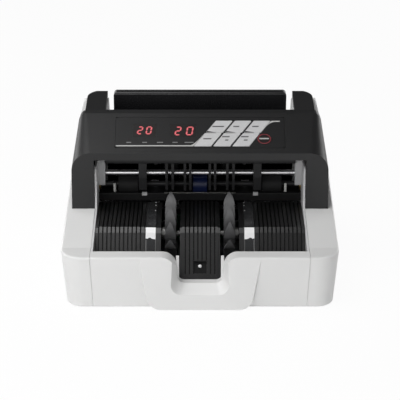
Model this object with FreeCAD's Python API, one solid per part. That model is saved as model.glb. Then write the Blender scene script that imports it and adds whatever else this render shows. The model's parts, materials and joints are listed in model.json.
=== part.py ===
import FreeCAD, Part
import math
import os

os.makedirs("parts", exist_ok=True)
V = FreeCAD.Vector

# Millimetres. X to the right, Y measured back from the front face, Z up from the table.
# Every piece moves to the part's origin, at the bottom centre, when it is written.

# Overall housing
DEPTH = 238.0
RIM_HALF = 143.5
SKIRT_DRAFT = 5.5
SKIRT_HALF = RIM_HALF - SKIRT_DRAFT
FOOT_H = 0.8
FOOT_R = 9.0
WALL = 2.6
SEAM = 0.3
LIP_Z = 56.0
LIP_DEPTH = 18.0
CORNER_R = 24.0
RIM_START = CORNER_R + 2.0
REAR_CORNER_R = 14.0
BOTTOM_R = 2.0
RIM_R = 2.0
RIM_ANGLE = 10.6
SIDE_W = 30.6
SEAM_LEAN = 2.8
POCKET_HALF = RIM_HALF - SIDE_W
BELT_ROOM = POCKET_HALF + 12.6
BELT_TOP = 113.0
BASE_T = 1.6

# Front panel
NOTCH_HALF = 23.7
NOTCH_FLOOR = 24.0
NOTCH_R = 8.0
NOTCH_FLARE_R = 17.0
BEVEL_HALF = 32.0
BEVEL_FLOOR = 14.5
BEVEL_DEPTH = 9.0
APRON_TOP = 65.0
APRON_BOTTOM = 55.0
APRON_EDGE = 3.0
APRON_PROUD = 6.0
APRON_LOW = 0.2
APRON_R = 14.0
NOTCH_CHEEK = 3.0
CHEEK_TOP = 51.0

# Control cover
COVER_FRONT = 100.0
COVER_INSET = 6.0
COVER_HALF = RIM_HALF - COVER_INSET
COVER_TOP_HALF = COVER_HALF - 1.0
COVER_REAR_HALF = COVER_HALF - 6.5
COVER_T = 3.0
BAND_Z = 125.0
PANEL_Z = 133.0
PANEL_RUN = 53.5
PANEL_RISE = 27.0
CROWN_RUN = 6.5
CROWN_RISE = 2.0
SHOULDER_R = 20.0
CREST_R = 9.0
SLOT_Z = 118.0
ARM_END = DEPTH - 25.0
ARM_TOP = 167.5
ARM_T = 6.0
ARM_R = 18.0
CHEEK_R = 7.0

# Panel overlay, displays and keys, L is measured up the slope
OVERLAY_HALF = 90.5
OVERLAY_L0 = 8.0
OVERLAY_L1 = 53.5
OVERLAY_T = 0.9
KEY_RISE = 0.4
KEY_T = 2.8
KEY_TRAVEL = 0.6
KEY_GAP = 0.35
KEY_PITCH = 20.4
KEY_W = 18.2
KEY_LEAN = 0.62
KEY_ROW_L = (10.4, 30.6)
KEY_ROW_H = (19.4, 17.8)
KEY_ROW_X = (-6.6, 6.2)
RESET_X = 68.6
RESET_L = 21.0
RESET_R = 7.6
DIGIT_L0 = 24.5
DIGIT_L1 = 43.0
BATCH_X = (-72.0, -47.0)
COUNT_X = (-32.0, -4.0)
BOARD_T = 1.6

# Hopper, rear housing and handle
HOPPER_HALF = POCKET_HALF - 10.9
REAR_HALF = COVER_HALF - 7.5
ARM_IN = HOPPER_HALF + 0.8
ARM_OUT = REAR_HALF - 5.5
REAR_WALL_Z = 112.0
CHEEK_DROP = 26.0
TRAY_FRONT = COVER_FRONT + PANEL_RUN + CROWN_RUN + 4.0
TRAY_FRONT_Z = 106.0
TRAY_REAR_Z = 116.0
TRAY_T = 3.0
TRAY_RIB_X = 52.0
TRAY_RIB_PITCH = 7.0
TRAY_RIB_W = 2.0
HANDLE_HALF = HOPPER_HALF - 5.7
HANDLE_Y = DEPTH - 25.5
HANDLE_TOP = 167.3
HANDLE_T = 11.0
HANDLE_BAR_H = 22.0
HANDLE_ARM_W = 10.0
HANDLE_PIVOT_Z = 130.0
HANDLE_EYE_R = 6.5
PIN_R = 2.5
FIT = 0.05
KNOB_R = 8.0
KNOB_L = 9.0
KNOB_Z = 141.0

# Frames, shafts and note path
FRAME_T = 2.0
BLOCK_IN = POCKET_HALF - 9.4
BLOCK_Z = 83.0
BLOCK_TOP = 114.0
SHAFT_R = 3.0
PINCH_Y = 147.0
PINCH_Z = 94.0
DRIVE_Y = 150.0
DRIVE_Z = 80.0
NIP = 0.4
DRUM_X = (67.5, 89.5)
CENTRE_HALF = 8.0
PICK_Y = TRAY_FRONT + 20.0
PICK_Z = 95.0
PICK_PROUD = 1.2
PICK_X = (24.0, 40.0)
GUIDE_FRONT = 137.0
GUIDE_Z = 74.0
GUIDE_T = 3.0
GUIDE_LIP = 9.0
GUIDE_REAR = TRAY_FRONT
COMB_Z = (110.0, 118.0)
COMB_Y = (130.0, 142.0)
COMB_TIP_Z = 77.5
RIB_W = 2.7
RIB_X = (10.6, 16.4, 29.7, 36.3)
FINGER_X = (58.0, 66.6)

# Stacker
STACK_HALF = POCKET_HALF - 2.9
STACK_FOOT = (26.0, 20.0)
STACK_RIDGE = (56.0, 60.0)
STACK_TOP = (61.0, 64.0)
STACK_REAR = 134.0
STACK_T = 3.0
RIB_PITCH = 4.4
RIB_H = 1.2
RIB_FLAT = 3.0
TONGUE_HALF = 21.0
WHEEL_SLOT = (21.0, 41.0)
WINDOW_X = (46.6, 57.0)
WHEEL_Y = 80.0
WHEEL_Z = 50.0
WHEEL_R = 44.0
WHEEL_X = 31.0
WHEEL_W = 11.5
HUB_R = 15.0
BLADES = 15
BLADE_TURN = -6.4
BLADE_T = 1.7

# Drives, on the outside of the frames
PULLEY_W = 8.0
PULLEY_GAP = 3.5
FLANGE = 1.4
BELT_T = 1.6
BELT_W = 5.0
BELT_GAP = 0.35
FEED_MOTOR_Y = DEPTH - 38.0
FEED_MOTOR_Z = 34.0
FEED_MOTOR_R = 22.0
STACK_MOTOR_Y = 126.0
STACK_MOTOR_Z = 26.0
STACK_MOTOR_R = 18.0
MOTOR_L = 56.0
MOTOR_PULLEY_R = 8.0
DRIVE_PULLEY_R = 11.0
PICK_PULLEY_R = 9.0
STACK_PULLEY_R = 9.5

# Rear face and electrics
INLET_X = -72.0
INLET_Z = 34.0
INLET_W = 28.0
INLET_H = 20.5
SWITCH_X = -38.0
SWITCH_W = 19.0
SWITCH_H = 24.0
ROCKER_W = 12.0
ROCKER_H = 17.0
ROCKER_TILT = 9.0
MAIN_BOARD_X = (-40.0, 38.0)
MAIN_BOARD_D = 54.0
MAIN_BOARD_REAR = 15.0
STANDOFF = 6.0
COIL_X = -76.0
CORE_W = 40.0
CORE_D = 30.0
CORE_H = 36.0
COIL_OVER = 5.0
CORE_REAR = 60.0
SCREW_R = 2.8
SCREW_H = 1.8


def box(x0, x1, y0, y1, z0, z1):
    return Part.makeBox(x1 - x0, y1 - y0, z1 - z0, V(x0, y0, z0))


def cyl_x(y, z, r, x0, x1):
    return Part.makeCylinder(r, x1 - x0, V(x0, y, z), V(1, 0, 0))


def cyl_y(x, z, r, y0, y1):
    return Part.makeCylinder(r, y1 - y0, V(x, y0, z), V(0, 1, 0))


def cyl_z(x, y, r, z0, z1):
    return Part.makeCylinder(r, z1 - z0, V(x, y, z0))


def mirrored(shape):
    return shape.mirror(V(0, 0, 0), V(1, 0, 0))


def both(shape):
    return Part.makeCompound([shape, mirrored(shape)])


def fuse(shapes):
    return shapes[0].multiFuse(shapes[1:]).removeSplitter()


def rounded_wire(points, radii):
    """Closed wire through points, with an arc of the given radius at each corner."""
    edges = []
    starts = []
    ends = []
    count = len(points)
    for i in range(count):
        p = points[i]
        back = (points[i - 1] - p).normalize()
        ahead = (points[(i + 1) % count] - p).normalize()
        if radii[i] <= 0:
            starts.append(p)
            ends.append(p)
            edges.append(None)
            continue
        half = back.getAngle(ahead) / 2
        cut = radii[i] / math.tan(half)
        inner = (back + ahead).normalize()
        centre = p + inner * (radii[i] / math.sin(half))
        starts.append(p + back * cut)
        ends.append(p + ahead * cut)
        edges.append(Part.Arc(starts[i], centre - inner * radii[i], ends[i]).toShape())
    chain = []
    for i in range(count):
        if edges[i] is not None:
            chain.append(edges[i])
        follow = starts[(i + 1) % count]
        if (follow - ends[i]).Length > 1e-6:
            chain.append(Part.makeLine(ends[i], follow))
    return Part.Wire(chain)


def side_wire(profile, x, radii=None):
    points = [V(x, y, z) for y, z in profile]
    return rounded_wire(points, radii or [0] * len(points))


def along_x(profile, x0, x1, radii=None):
    """Profile in Y and Z, drawn out from x0 to x1."""
    return Part.Face(side_wire(profile, x0, radii)).extrude(V(x1 - x0, 0, 0))


def along_y(profile, y0, y1, radii=None):
    """Profile in X and Z, drawn out from y0 to y1."""
    points = [V(x, y0, z) for x, z in profile]
    return Part.Face(rounded_wire(points, radii or [0] * len(points))).extrude(V(0, y1 - y0, 0))


def along_z(profile, z0, z1, radii=None):
    """Profile in X and Y, drawn out from z0 to z1."""
    points = [V(x, y, z0) for x, y in profile]
    return Part.Face(rounded_wire(points, radii or [0] * len(points))).extrude(V(0, 0, z1 - z0))


def front_loft(sections):
    """Ruled solid through sections of (y, profile in X and Z, corner radii)."""
    wires = []
    for y, profile, radii in sections:
        wires.append(rounded_wire([V(x, y, z) for x, z in profile], radii))
    return Part.makeLoft(wires, True, True)


def rim_z(y):
    """Height of the sloping top edge of the side covers."""
    return LIP_Z + max(0.0, y - RIM_START) * math.tan(math.radians(RIM_ANGLE))


SLOPE = math.atan2(PANEL_RISE, PANEL_RUN)


def on_panel(shape):
    """Moves a shape drawn flat, with Y up the slope and Z outward, on to the control panel."""
    placed = shape.copy()
    placed.rotate(V(0, 0, 0), V(1, 0, 0), math.degrees(SLOPE))
    placed.translate(V(0, COVER_FRONT, PANEL_Z))
    return placed


def save(name, shape):
    moved = shape.copy()
    moved.translate(V(0, (APRON_PROUD - DEPTH) / 2, 0))
    moved.exportStep("parts/" + name + ".step")


# White housing
def skirt_profile(z_rim, inner):
    return [(inner, FOOT_H), (SKIRT_HALF, FOOT_H), (RIM_HALF, z_rim), (inner, z_rim)]


def front_corner():
    """Front end of a side cover: upright in front, drafted at the side, rounded in plan."""
    wires = []
    for z, inner, half, radius in ((FOOT_H, POCKET_HALF - SEAM_LEAN, SKIRT_HALF, CORNER_R - SKIRT_DRAFT),
                                   (LIP_Z, POCKET_HALF, RIM_HALF, CORNER_R)):
        points = [V(inner, 0, z), V(half, 0, z), V(half, RIM_START, z), V(inner, RIM_START, z)]
        wires.append(rounded_wire(points, [0, radius, 0, 0]))
    block = Part.makeLoft(wires, True, True)
    for level, radius in ((FOOT_H, BOTTOM_R), (LIP_Z, RIM_R)):
        edges = []
        for edge in block.Edges:
            span = edge.BoundBox
            flat = abs(span.ZMin - level) < 0.01 and abs(span.ZMax - level) < 0.01
            if flat and span.XMax > POCKET_HALF + 1 and span.YMin < RIM_START - 1:
                edges.append(edge)
        block = block.makeFillet(radius, edges)
    return block


def rear_corner():
    y = DEPTH - REAR_CORNER_R
    axis_x = RIM_HALF - REAR_CORNER_R
    radii = [0, BOTTOM_R, RIM_R, 0]
    profile = skirt_profile(rim_z(y), axis_x)
    wire = rounded_wire([V(x, y, z) for x, z in profile], radii)
    turned = Part.Face(wire).revolve(V(axis_x, y, 0), V(0, 0, 1), 90)
    stub = [V(POCKET_HALF, y + x - axis_x, z) for x, z in profile]
    return turned, Part.Face(rounded_wire(stub, radii)).extrude(V(axis_x - POCKET_HALF, 0, 0))


def side_cover():
    radii = [0, BOTTOM_R, RIM_R, 0]
    ends = (RIM_START, DEPTH - REAR_CORNER_R)
    sections = [(y, skirt_profile(rim_z(y), POCKET_HALF), radii) for y in ends]
    body = fuse([front_loft(sections), front_corner(), *rear_corner()])
    inside = POCKET_HALF - 5
    hollow = []
    for y in ends:
        top = rim_z(y) - WALL
        outline = [(inside, -1), (SKIRT_HALF - WALL, -1), (RIM_HALF - 2 * WALL, top), (inside, top)]
        hollow.append((y, outline, [0] * 4))
    nose = box(inside, RIM_HALF - CORNER_R, WALL, RIM_START + 1, -1, LIP_Z - WALL)
    channel = box(inside, BELT_ROOM, COVER_FRONT + COVER_T + 4, DEPTH - CORNER_R, FOOT_H + WALL, CREST_Z)
    return body.cut(front_loft(hollow)).cut(nose).cut(channel)


def notch_wire(half, floor, radius, y):
    top = LIP_Z + 5
    points = [V(-half, y, top), V(-half, y, floor), V(half, y, floor), V(half, y, top)]
    return rounded_wire(points, [0, radius, radius, 0])


def apron():
    """Raised middle of the front panel, flush at the top and proud at the bottom."""
    high = LIP_Z - RIM_R
    foot = [V(-APRON_BOTTOM, BOTTOM_R, APRON_LOW), V(APRON_BOTTOM, BOTTOM_R, APRON_LOW),
            V(APRON_TOP, BOTTOM_R, high), V(-APRON_TOP, BOTTOM_R, high)]
    low_half = APRON_BOTTOM - APRON_EDGE
    high_half = APRON_TOP - APRON_EDGE
    raised = [V(-low_half, -APRON_PROUD, APRON_LOW), V(low_half, -APRON_PROUD, APRON_LOW),
              V(high_half, 0, high), V(-high_half, 0, high)]
    radii = [APRON_R, APRON_R, 1, 1]
    return Part.makeLoft([rounded_wire(foot, radii), rounded_wire(raised, radii)], True, True)


def front_panel():
    half = POCKET_HALF - SEAM
    profile = [(LIP_DEPTH, FOOT_H), (0, FOOT_H), (0, LIP_Z), (LIP_DEPTH, LIP_Z)]
    panel = along_x(profile, -half, half, [0, BOTTOM_R, RIM_R, 1.5])
    ends = [(SEAM_LEAN - half, FOOT_H), (half - SEAM_LEAN, FOOT_H), (half, LIP_Z), (-half, LIP_Z)]
    panel = fuse([panel.common(along_y(ends, -1, LIP_DEPTH + 1)), apron()])
    flare = NOTCH_HALF + NOTCH_FLARE_R
    top = LIP_Z + 5
    outline = [(-flare, top), (-flare, LIP_Z), (-NOTCH_HALF, LIP_Z), (-NOTCH_HALF, NOTCH_FLOOR),
               (NOTCH_HALF, NOTCH_FLOOR), (NOTCH_HALF, LIP_Z), (flare, LIP_Z), (flare, top)]
    front = -APRON_PROUD - 1
    notch = along_y(outline, front, LIP_DEPTH + 1, [0, 0, 0, NOTCH_R, NOTCH_R, 0, 0, 0])
    round_in = box(NOTCH_HALF, flare, front, LIP_DEPTH + 1, LIP_Z - NOTCH_FLARE_R, LIP_Z)
    round_in = round_in.cut(cyl_y(flare, LIP_Z - NOTCH_FLARE_R, NOTCH_FLARE_R, front - 1, LIP_DEPTH + 2))
    wires = [notch_wire(BEVEL_HALF, BEVEL_FLOOR, 1.5 * NOTCH_R, front),
             notch_wire(NOTCH_HALF, NOTCH_FLOOR, NOTCH_R, BEVEL_DEPTH)]
    bevel = Part.makeLoft(wires, True, True)
    pocket = box(APRON_TOP, half - SEAM_LEAN - WALL, WALL, LIP_DEPTH - WALL, FOOT_H - 1, LIP_Z - WALL)
    for cutter in (notch, round_in, mirrored(round_in), bevel, pocket, mirrored(pocket)):
        panel = panel.cut(cutter)
    cheek = box(TONGUE_HALF + 2 * SEAM, NOTCH_HALF + 1, LIP_DEPTH - NOTCH_CHEEK, LIP_DEPTH,
                NOTCH_FLOOR - 1, CHEEK_TOP)
    return fuse([panel, cheek, mirrored(cheek)])


def base_plate():
    half = SKIRT_HALF - 2 * WALL
    tongue = POCKET_HALF - 2 * SEAM
    wings = box(-half, half, RIM_START + SEAM, DEPTH - CORNER_R, FOOT_H, FOOT_H + BASE_T)
    strip = box(-tongue, tongue, LIP_DEPTH + SEAM, DEPTH - 2 * WALL - SEAM, FOOT_H, FOOT_H + BASE_T)
    plate = fuse([wings, strip])
    vents = []
    for i in range(6):
        y = FEED_MOTOR_Y - 30 + i * 8
        vents.append(box(-20, 20, y, y + 3, 0, FOOT_H + BASE_T + 1))
    return plate.cut(Part.makeCompound(vents))


def rubber_feet():
    feet = []
    for x in (-1, 1):
        for y in (CORNER_R + 2 * FOOT_R, DEPTH - CORNER_R - FOOT_R - 6):
            disc = cyl_z(x * (POCKET_HALF - 2 * FOOT_R), y, FOOT_R, 0, FOOT_H)
            feet.append(disc.makeChamfer(FOOT_H / 2, [disc.Edges[2]]))
    return Part.makeCompound(feet)


CREST_Y = COVER_FRONT + PANEL_RUN + CROWN_RUN
CREST_Z = PANEL_Z + PANEL_RISE + CROWN_RISE
CHEEK_FRONT = CREST_Y + SEAM


def rear_housing():
    arm_low = ARM_TOP - ARM_T - SEAM
    end = DEPTH - WALL
    lean = (ARM_TOP - CREST_Z) / (ARM_END - CREST_Y)
    profile = [(CHEEK_FRONT, rim_z(CHEEK_FRONT)), (CHEEK_FRONT, CREST_Z - ARM_T - SEAM - lean),
               (ARM_END, arm_low), (end - 4, arm_low - CHEEK_DROP), (end, rim_z(end))]
    cheek = along_x(profile, HOPPER_HALF, REAR_HALF, [0, 0, 16, 14, 0])
    plan = [(HOPPER_HALF, CHEEK_FRONT), (REAR_HALF, CHEEK_FRONT), (REAR_HALF, end), (HOPPER_HALF, end)]
    cheek = cheek.common(along_z(plan, 0, ARM_TOP, [0, 0, ARM_R, 0]))
    rise = [(HOPPER_HALF, 0), (REAR_HALF, 0), (REAR_HALF, arm_low), (HOPPER_HALF, arm_low)]
    cheek = cheek.common(along_y(rise, 0, DEPTH, [0, 0, CHEEK_R, 0]))
    inner_profile = []
    for i, (y, z) in enumerate(profile):
        inset_y = WALL if i < 2 else -WALL
        inset_z = -WALL if 0 < i < 4 else 0.0
        inner_profile.append((y + inset_y, z + inset_z))
    hollow = along_x(inner_profile, HOPPER_HALF + WALL, REAR_HALF - WALL)
    ledge = [(CHEEK_FRONT - 1, 0), (CHEEK_FRONT - 1, rim_z(CHEEK_FRONT - 1) + SEAM),
             (DEPTH, rim_z(DEPTH) + SEAM), (DEPTH, 0)]
    cheek = cheek.cut(hollow).cut(along_x(ledge, 0, RIM_HALF))
    reach = POCKET_HALF - SEAM
    wall = box(-reach, reach, end - WALL, end, FOOT_H + BASE_T + SEAM, REAR_WALL_Z)
    inlet = box(INLET_X - INLET_W / 2, INLET_X + INLET_W / 2, end - 9, DEPTH, INLET_Z - INLET_H / 2,
                INLET_Z + INLET_H / 2)
    switch = box(SWITCH_X - SWITCH_W / 2 + 1.5, SWITCH_X + SWITCH_W / 2 - 1.5, end - 9, DEPTH,
                 INLET_Z - SWITCH_H / 2 + 1.5, INLET_Z + SWITCH_H / 2 - 1.5)
    vents = []
    for i in range(9):
        x = 20 + i * 7
        vents.append(box(x, x + 3, end - 9, DEPTH, INLET_Z - 12, INLET_Z + 22))
    body = fuse([wall, cheek, mirrored(cheek)])
    bores = cyl_x(HANDLE_Y, HANDLE_PIVOT_Z, PIN_R, -REAR_HALF + WALL + 2, REAR_HALF - WALL - 2)
    passage = both(box(HOPPER_HALF + WALL, BELT_ROOM, CHEEK_FRONT - 1, CHEEK_FRONT + 2 * WALL, 0, BELT_TOP))
    inner = both(box(HOPPER_HALF - 1, HOPPER_HALF + 2 * WALL, CHEEK_FRONT - 1, PICK_Y + 24, 0, PICK_Z + 10))
    for cutter in (inlet, switch, bores, passage, inner, Part.makeCompound(vents)):
        body = body.cut(cutter)
    return body


# Black control cover
def cover_sections(inset, y_shift):
    low = LIP_Z
    rows = ((COVER_FRONT + y_shift, PANEL_Z, COVER_TOP_HALF, SHOULDER_R),
            (COVER_FRONT + PANEL_RUN, PANEL_Z + PANEL_RISE, COVER_REAR_HALF, CREST_R),
            (CREST_Y - y_shift, CREST_Z, COVER_REAR_HALF - 1, CREST_R))
    sections = []
    for y, z, half, radius in rows:
        top = half - inset
        base = COVER_HALF - inset
        drop = inset * 1.15 if inset else 0.0
        profile = [(-base, low - inset), (base, low - inset), (top, z - drop), (-top, z - drop)]
        sections.append((y, profile, [0, 0, radius - inset, radius - inset]))
    return sections


def control_cover():
    shell = front_loft(cover_sections(0.0, 0.0)).cut(front_loft(cover_sections(COVER_T, COVER_T)))
    arm_low = CREST_Z - ARM_T
    profile = [(CREST_Y - CROWN_RUN, arm_low), (ARM_END, ARM_TOP - ARM_T), (ARM_END, ARM_TOP),
               (CREST_Y, CREST_Z), (CREST_Y - CROWN_RUN, CREST_Z - CROWN_RISE)]
    arm = along_x(profile, ARM_IN, ARM_OUT, [0, 0, 2.5, 0, 0])
    plan = [(ARM_IN, 0), (ARM_OUT, 0), (ARM_OUT, ARM_END), (ARM_IN, ARM_END)]
    arm = arm.common(along_z(plan, 0, ARM_TOP + 5, [0, 0, ARM_R, 3]))
    cover = fuse([shell, arm, mirrored(arm)])
    ledge = [(COVER_FRONT - 1, 0), (COVER_FRONT - 1, rim_z(COVER_FRONT - 1) + SEAM),
             (CREST_Y + 1, rim_z(CREST_Y + 1) + SEAM), (CREST_Y + 1, 0)]
    cover = cover.cut(along_x(ledge, -RIM_HALF, RIM_HALF))
    mouth = box(-POCKET_HALF, POCKET_HALF, COVER_FRONT - 1, COVER_FRONT + COVER_T + 1, 0, BAND_Z)
    entry = box(-HOPPER_HALF, HOPPER_HALF, CREST_Y - COVER_T - 1, CREST_Y + 1, 0, SLOT_Z)
    frames = box(-BELT_ROOM, BELT_ROOM, CREST_Y - COVER_T - 1, CREST_Y + 1, 0, BELT_TOP)
    sink = OVERLAY_T + 0.05
    recess = box(-OVERLAY_HALF - KEY_GAP, OVERLAY_HALF + KEY_GAP, OVERLAY_L0 - KEY_GAP,
                 OVERLAY_L1 + KEY_GAP, -sink, 5)
    window = box(-OVERLAY_HALF + 5, OVERLAY_HALF - 5, OVERLAY_L0 + 1.2, OVERLAY_L1 - 4, -9, 1)
    knob = cyl_y(0, KNOB_Z, PIN_R + FIT, CREST_Y - 2 * COVER_T, CREST_Y + 1)
    for cutter in (mouth, entry, frames, on_panel(recess), on_panel(window), knob):
        cover = cover.cut(cutter)
    return cover


def slanted(x, l0, height, grow):
    lean = height * KEY_LEAN
    points = [(x - grow, l0 - grow), (x + KEY_W + grow, l0 - grow),
              (x + KEY_W + lean + grow, l0 + height + grow), (x + lean - grow, l0 + height + grow)]
    return points


def key_outlines():
    """Corner points of the six slanted keys, lower row first, left to right."""
    outlines = []
    for row in (0, 1):
        for column in range(3):
            outlines.append((KEY_ROW_X[row] + column * KEY_PITCH, KEY_ROW_L[row], KEY_ROW_H[row]))
    return outlines


def panel_overlay():
    corners = [(-OVERLAY_HALF, OVERLAY_L0), (OVERLAY_HALF, OVERLAY_L0),
               (OVERLAY_HALF, OVERLAY_L1), (-OVERLAY_HALF, OVERLAY_L1)]
    sheet = along_z(corners, -OVERLAY_T, 0, [3] * 4)
    cuts = [along_z(slanted(x, l0, h, KEY_GAP), -5, 5) for x, l0, h in key_outlines()]
    cuts.append(cyl_z(RESET_X, RESET_L, RESET_R + KEY_GAP, -5, 5))
    for x0, x1 in (BATCH_X, COUNT_X):
        cuts.append(box(x0 - 0.1, x1 + 0.1, DIGIT_L0 - 0.1, DIGIT_L1 + 0.1, -5, 5))
    for cutter in cuts:
        sheet = sheet.cut(cutter)
    return on_panel(sheet)


def slanted_key(index):
    x, l0, h = key_outlines()[index]
    cap = along_z(slanted(x, l0, h, 0), KEY_RISE - KEY_T, KEY_RISE, [0.8] * 4)
    top_edges = [e for e in cap.Edges if e.BoundBox.ZMin > KEY_RISE - 0.01]
    return on_panel(cap.makeChamfer(0.25, top_edges))


def reset_key():
    cap = cyl_z(RESET_X, RESET_L, RESET_R, KEY_RISE - KEY_T, KEY_RISE)
    return on_panel(cap.makeChamfer(0.3, [cap.Edges[0]]))


BOARD_TOP = KEY_RISE - KEY_T - KEY_TRAVEL - 0.35


def display(span):
    return on_panel(box(span[0], span[1], DIGIT_L0, DIGIT_L1, BOARD_TOP, 0))


def control_board():
    half = OVERLAY_HALF - 7
    board = box(-half, half, OVERLAY_L0 + 3, OVERLAY_L1 - 6, BOARD_TOP - BOARD_T, BOARD_TOP)
    chip = box(-half + 6, -half + 24, OVERLAY_L0 + 8, OVERLAY_L0 + 20, BOARD_TOP - BOARD_T - 2, BOARD_TOP - 1)
    posts = [cyl_z(x, OVERLAY_L1 - 5, 1.6, BOARD_TOP - BOARD_T, -COVER_T) for x in (-half + 8, half - 8)]
    edge = box(-half - 2, half + 2, OVERLAY_L1 - 4, OVERLAY_L1, -20, 5)
    return on_panel(fuse([board, chip] + posts).cut(edge))


# Hopper and handle
TRAY_END = DEPTH - 2 * WALL - SEAM


def tray_top(y):
    share = (y - TRAY_FRONT) / (TRAY_END - TRAY_FRONT)
    return TRAY_FRONT_Z + share * (TRAY_REAR_Z - TRAY_FRONT_Z)


PICK_R = tray_top(PICK_Y) - PICK_Z + PICK_PROUD


def hopper_tray():
    half = HOPPER_HALF - SEAM
    profile = [(TRAY_FRONT, TRAY_FRONT_Z - 8), (TRAY_FRONT + TRAY_T, TRAY_FRONT_Z - 8),
               (TRAY_FRONT + TRAY_T, TRAY_FRONT_Z - TRAY_T), (TRAY_END, TRAY_REAR_Z - TRAY_T),
               (TRAY_END, TRAY_REAR_Z), (TRAY_FRONT, TRAY_FRONT_Z)]
    tray = along_x(profile, -half, half, [0, 0, 0, 0, 0, 1.5])
    reach = PICK_R + 1.5
    slot = box(PICK_X[0] - 1.5, PICK_X[1] + 1.5, PICK_Y - reach, PICK_Y + reach, 0, ARM_TOP)
    ribs = []
    for i in range(int((half - TRAY_RIB_X - 2 * TRAY_RIB_W) / TRAY_RIB_PITCH) + 1):
        x = TRAY_RIB_X + i * TRAY_RIB_PITCH
        run = [(TRAY_FRONT + 6, tray_top(TRAY_FRONT + 6) - 0.5), (TRAY_END - 4, tray_top(TRAY_END - 4) - 0.5),
               (TRAY_END - 4, tray_top(TRAY_END - 4) + 0.8), (TRAY_FRONT + 6, tray_top(TRAY_FRONT + 6) + 0.8)]
        ribs.append(along_x(run, x, x + TRAY_RIB_W))
        ribs.append(along_x(run, -x - TRAY_RIB_W, -x))
    return fuse([tray] + ribs).cut(both(slot))


def carry_handle():
    y0 = HANDLE_Y - HANDLE_T / 2
    y1 = HANDLE_Y + HANDLE_T / 2
    low = HANDLE_TOP - HANDLE_BAR_H
    profile = [(y0, low), (y1, low), (y1, HANDLE_TOP), (y0, HANDLE_TOP)]
    bar = along_x(profile, -HANDLE_HALF, HANDLE_HALF, [2.0, 4.0, 3.0, 3.5])
    arm = along_x([(y0 + 1, HANDLE_PIVOT_Z), (y1 - 1, HANDLE_PIVOT_Z), (y1 - 1, low + 4), (y0 + 1, low + 4)],
                  HANDLE_HALF - HANDLE_ARM_W, HANDLE_HALF)
    eye = cyl_x(HANDLE_Y, HANDLE_PIVOT_Z, HANDLE_EYE_R, HANDLE_HALF - HANDLE_ARM_W, HANDLE_HALF)
    plan = [(-HANDLE_HALF, low - 60), (HANDLE_HALF, low - 60), (HANDLE_HALF, HANDLE_TOP),
            (-HANDLE_HALF, HANDLE_TOP)]
    outline = along_y(plan, 0, DEPTH + 50, [0, 0, 5, 5])
    handle = fuse([bar, arm, eye, mirrored(arm), mirrored(eye)]).common(outline)
    return handle.cut(cyl_x(HANDLE_Y, HANDLE_PIVOT_Z, PIN_R + FIT, -RIM_HALF, RIM_HALF))


def handle_pins():
    pin = cyl_x(HANDLE_Y, HANDLE_PIVOT_Z, PIN_R, HANDLE_HALF - HANDLE_ARM_W + 1, REAR_HALF - WALL - 2)
    return both(pin)


def gap_knob():
    y0 = CREST_Y + SEAM
    knob = cyl_y(0, KNOB_Z, KNOB_R, y0, y0 + KNOB_L)
    grips = []
    for i in range(12):
        turn = 2 * math.pi * i / 12
        x = KNOB_R * math.cos(turn)
        z = KNOB_Z + KNOB_R * math.sin(turn)
        grips.append(cyl_y(x, z, 1.2, y0 - 1, y0 + KNOB_L + 1))
    stem = cyl_y(0, KNOB_Z, PIN_R, CREST_Y - COVER_T - 6, y0 + 1)
    return fuse([knob.cut(Part.makeCompound(grips)), stem])


# Frames and note path
def frame_x():
    outer = POCKET_HALF - SEAM
    return outer - FRAME_T, outer


BORE_SPOTS = ((PINCH_Y, PINCH_Z), (DRIVE_Y, DRIVE_Z), (PICK_Y, PICK_Z), (WHEEL_Y, WHEEL_Z))
BUSH_R = 5.0
BUSH_FLANGE_R = 7.0
BUSH_FLANGE_T = 1.5


def side_frame():
    x0, x1 = frame_x()
    low = FOOT_H + BASE_T
    front = LIP_DEPTH + SEAM
    high = SLOT_Z - 3
    rear = PICK_Y + 22
    profile = [(front, low), (rear, low), (rear, rim_z(rear) - WALL - SEAM), (PICK_Y + 12, PICK_Z + 8),
               (TRAY_FRONT - 1, tray_top(TRAY_FRONT) - TRAY_T - 6), (CREST_Y - COVER_T - 2, high),
               (COVER_FRONT + COVER_T + 3, high), (COVER_FRONT, rim_z(COVER_FRONT) - 1), (front, LIP_Z - 1)]
    plate = along_x(profile, x0, x1, [2, 2, 0, 0, 0, 5, 5, 0, 2])
    foot = box(x0 - 10, x1, front + 20, rear - 20, low, low + FRAME_T)
    for y, z in BORE_SPOTS:
        plate = plate.cut(cyl_x(y, z, BUSH_R, 0, RIM_HALF))
    return fuse([plate, foot])


def bearing_block():
    x1 = frame_x()[0] - 0.05
    front = PINCH_Y - 12
    rear = PINCH_Y + 8
    profile = [(front, BLOCK_Z), (front, BLOCK_TOP), (rear, BLOCK_TOP), (rear, BLOCK_Z)]
    block = along_x(profile, BLOCK_IN, x1, [2, 2, 2, 2])
    for y, z in ((PINCH_Y, PINCH_Z), (DRIVE_Y, DRIVE_Z)):
        block = block.cut(cyl_x(y, z, SHAFT_R + 0.3, 0, RIM_HALF))
        block = block.cut(cyl_x(y, z, BUSH_FLANGE_R + 0.2, x1 - BUSH_FLANGE_T - 0.2, x1 + 1))
    return block


def bushes(spots):
    x0, x1 = frame_x()
    rings = []
    for y, z in spots:
        ring = cyl_x(y, z, BUSH_R, x0, x1 + 1).fuse(cyl_x(y, z, BUSH_FLANGE_R, x0 - BUSH_FLANGE_T, x0))
        ring = ring.cut(cyl_x(y, z, SHAFT_R + FIT, 0, RIM_HALF))
        rings.append(ring)
        rings.append(mirrored(ring))
    return Part.makeCompound(rings)


PULLEY_X0 = frame_x()[1] + PULLEY_GAP
PULLEY_X1 = PULLEY_X0 + PULLEY_W
SHAFT_END = frame_x()[1] + 2.0
DRUM_R = math.hypot(DRIVE_Y - PINCH_Y, DRIVE_Z - PINCH_Z) - SHAFT_R - NIP


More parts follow.
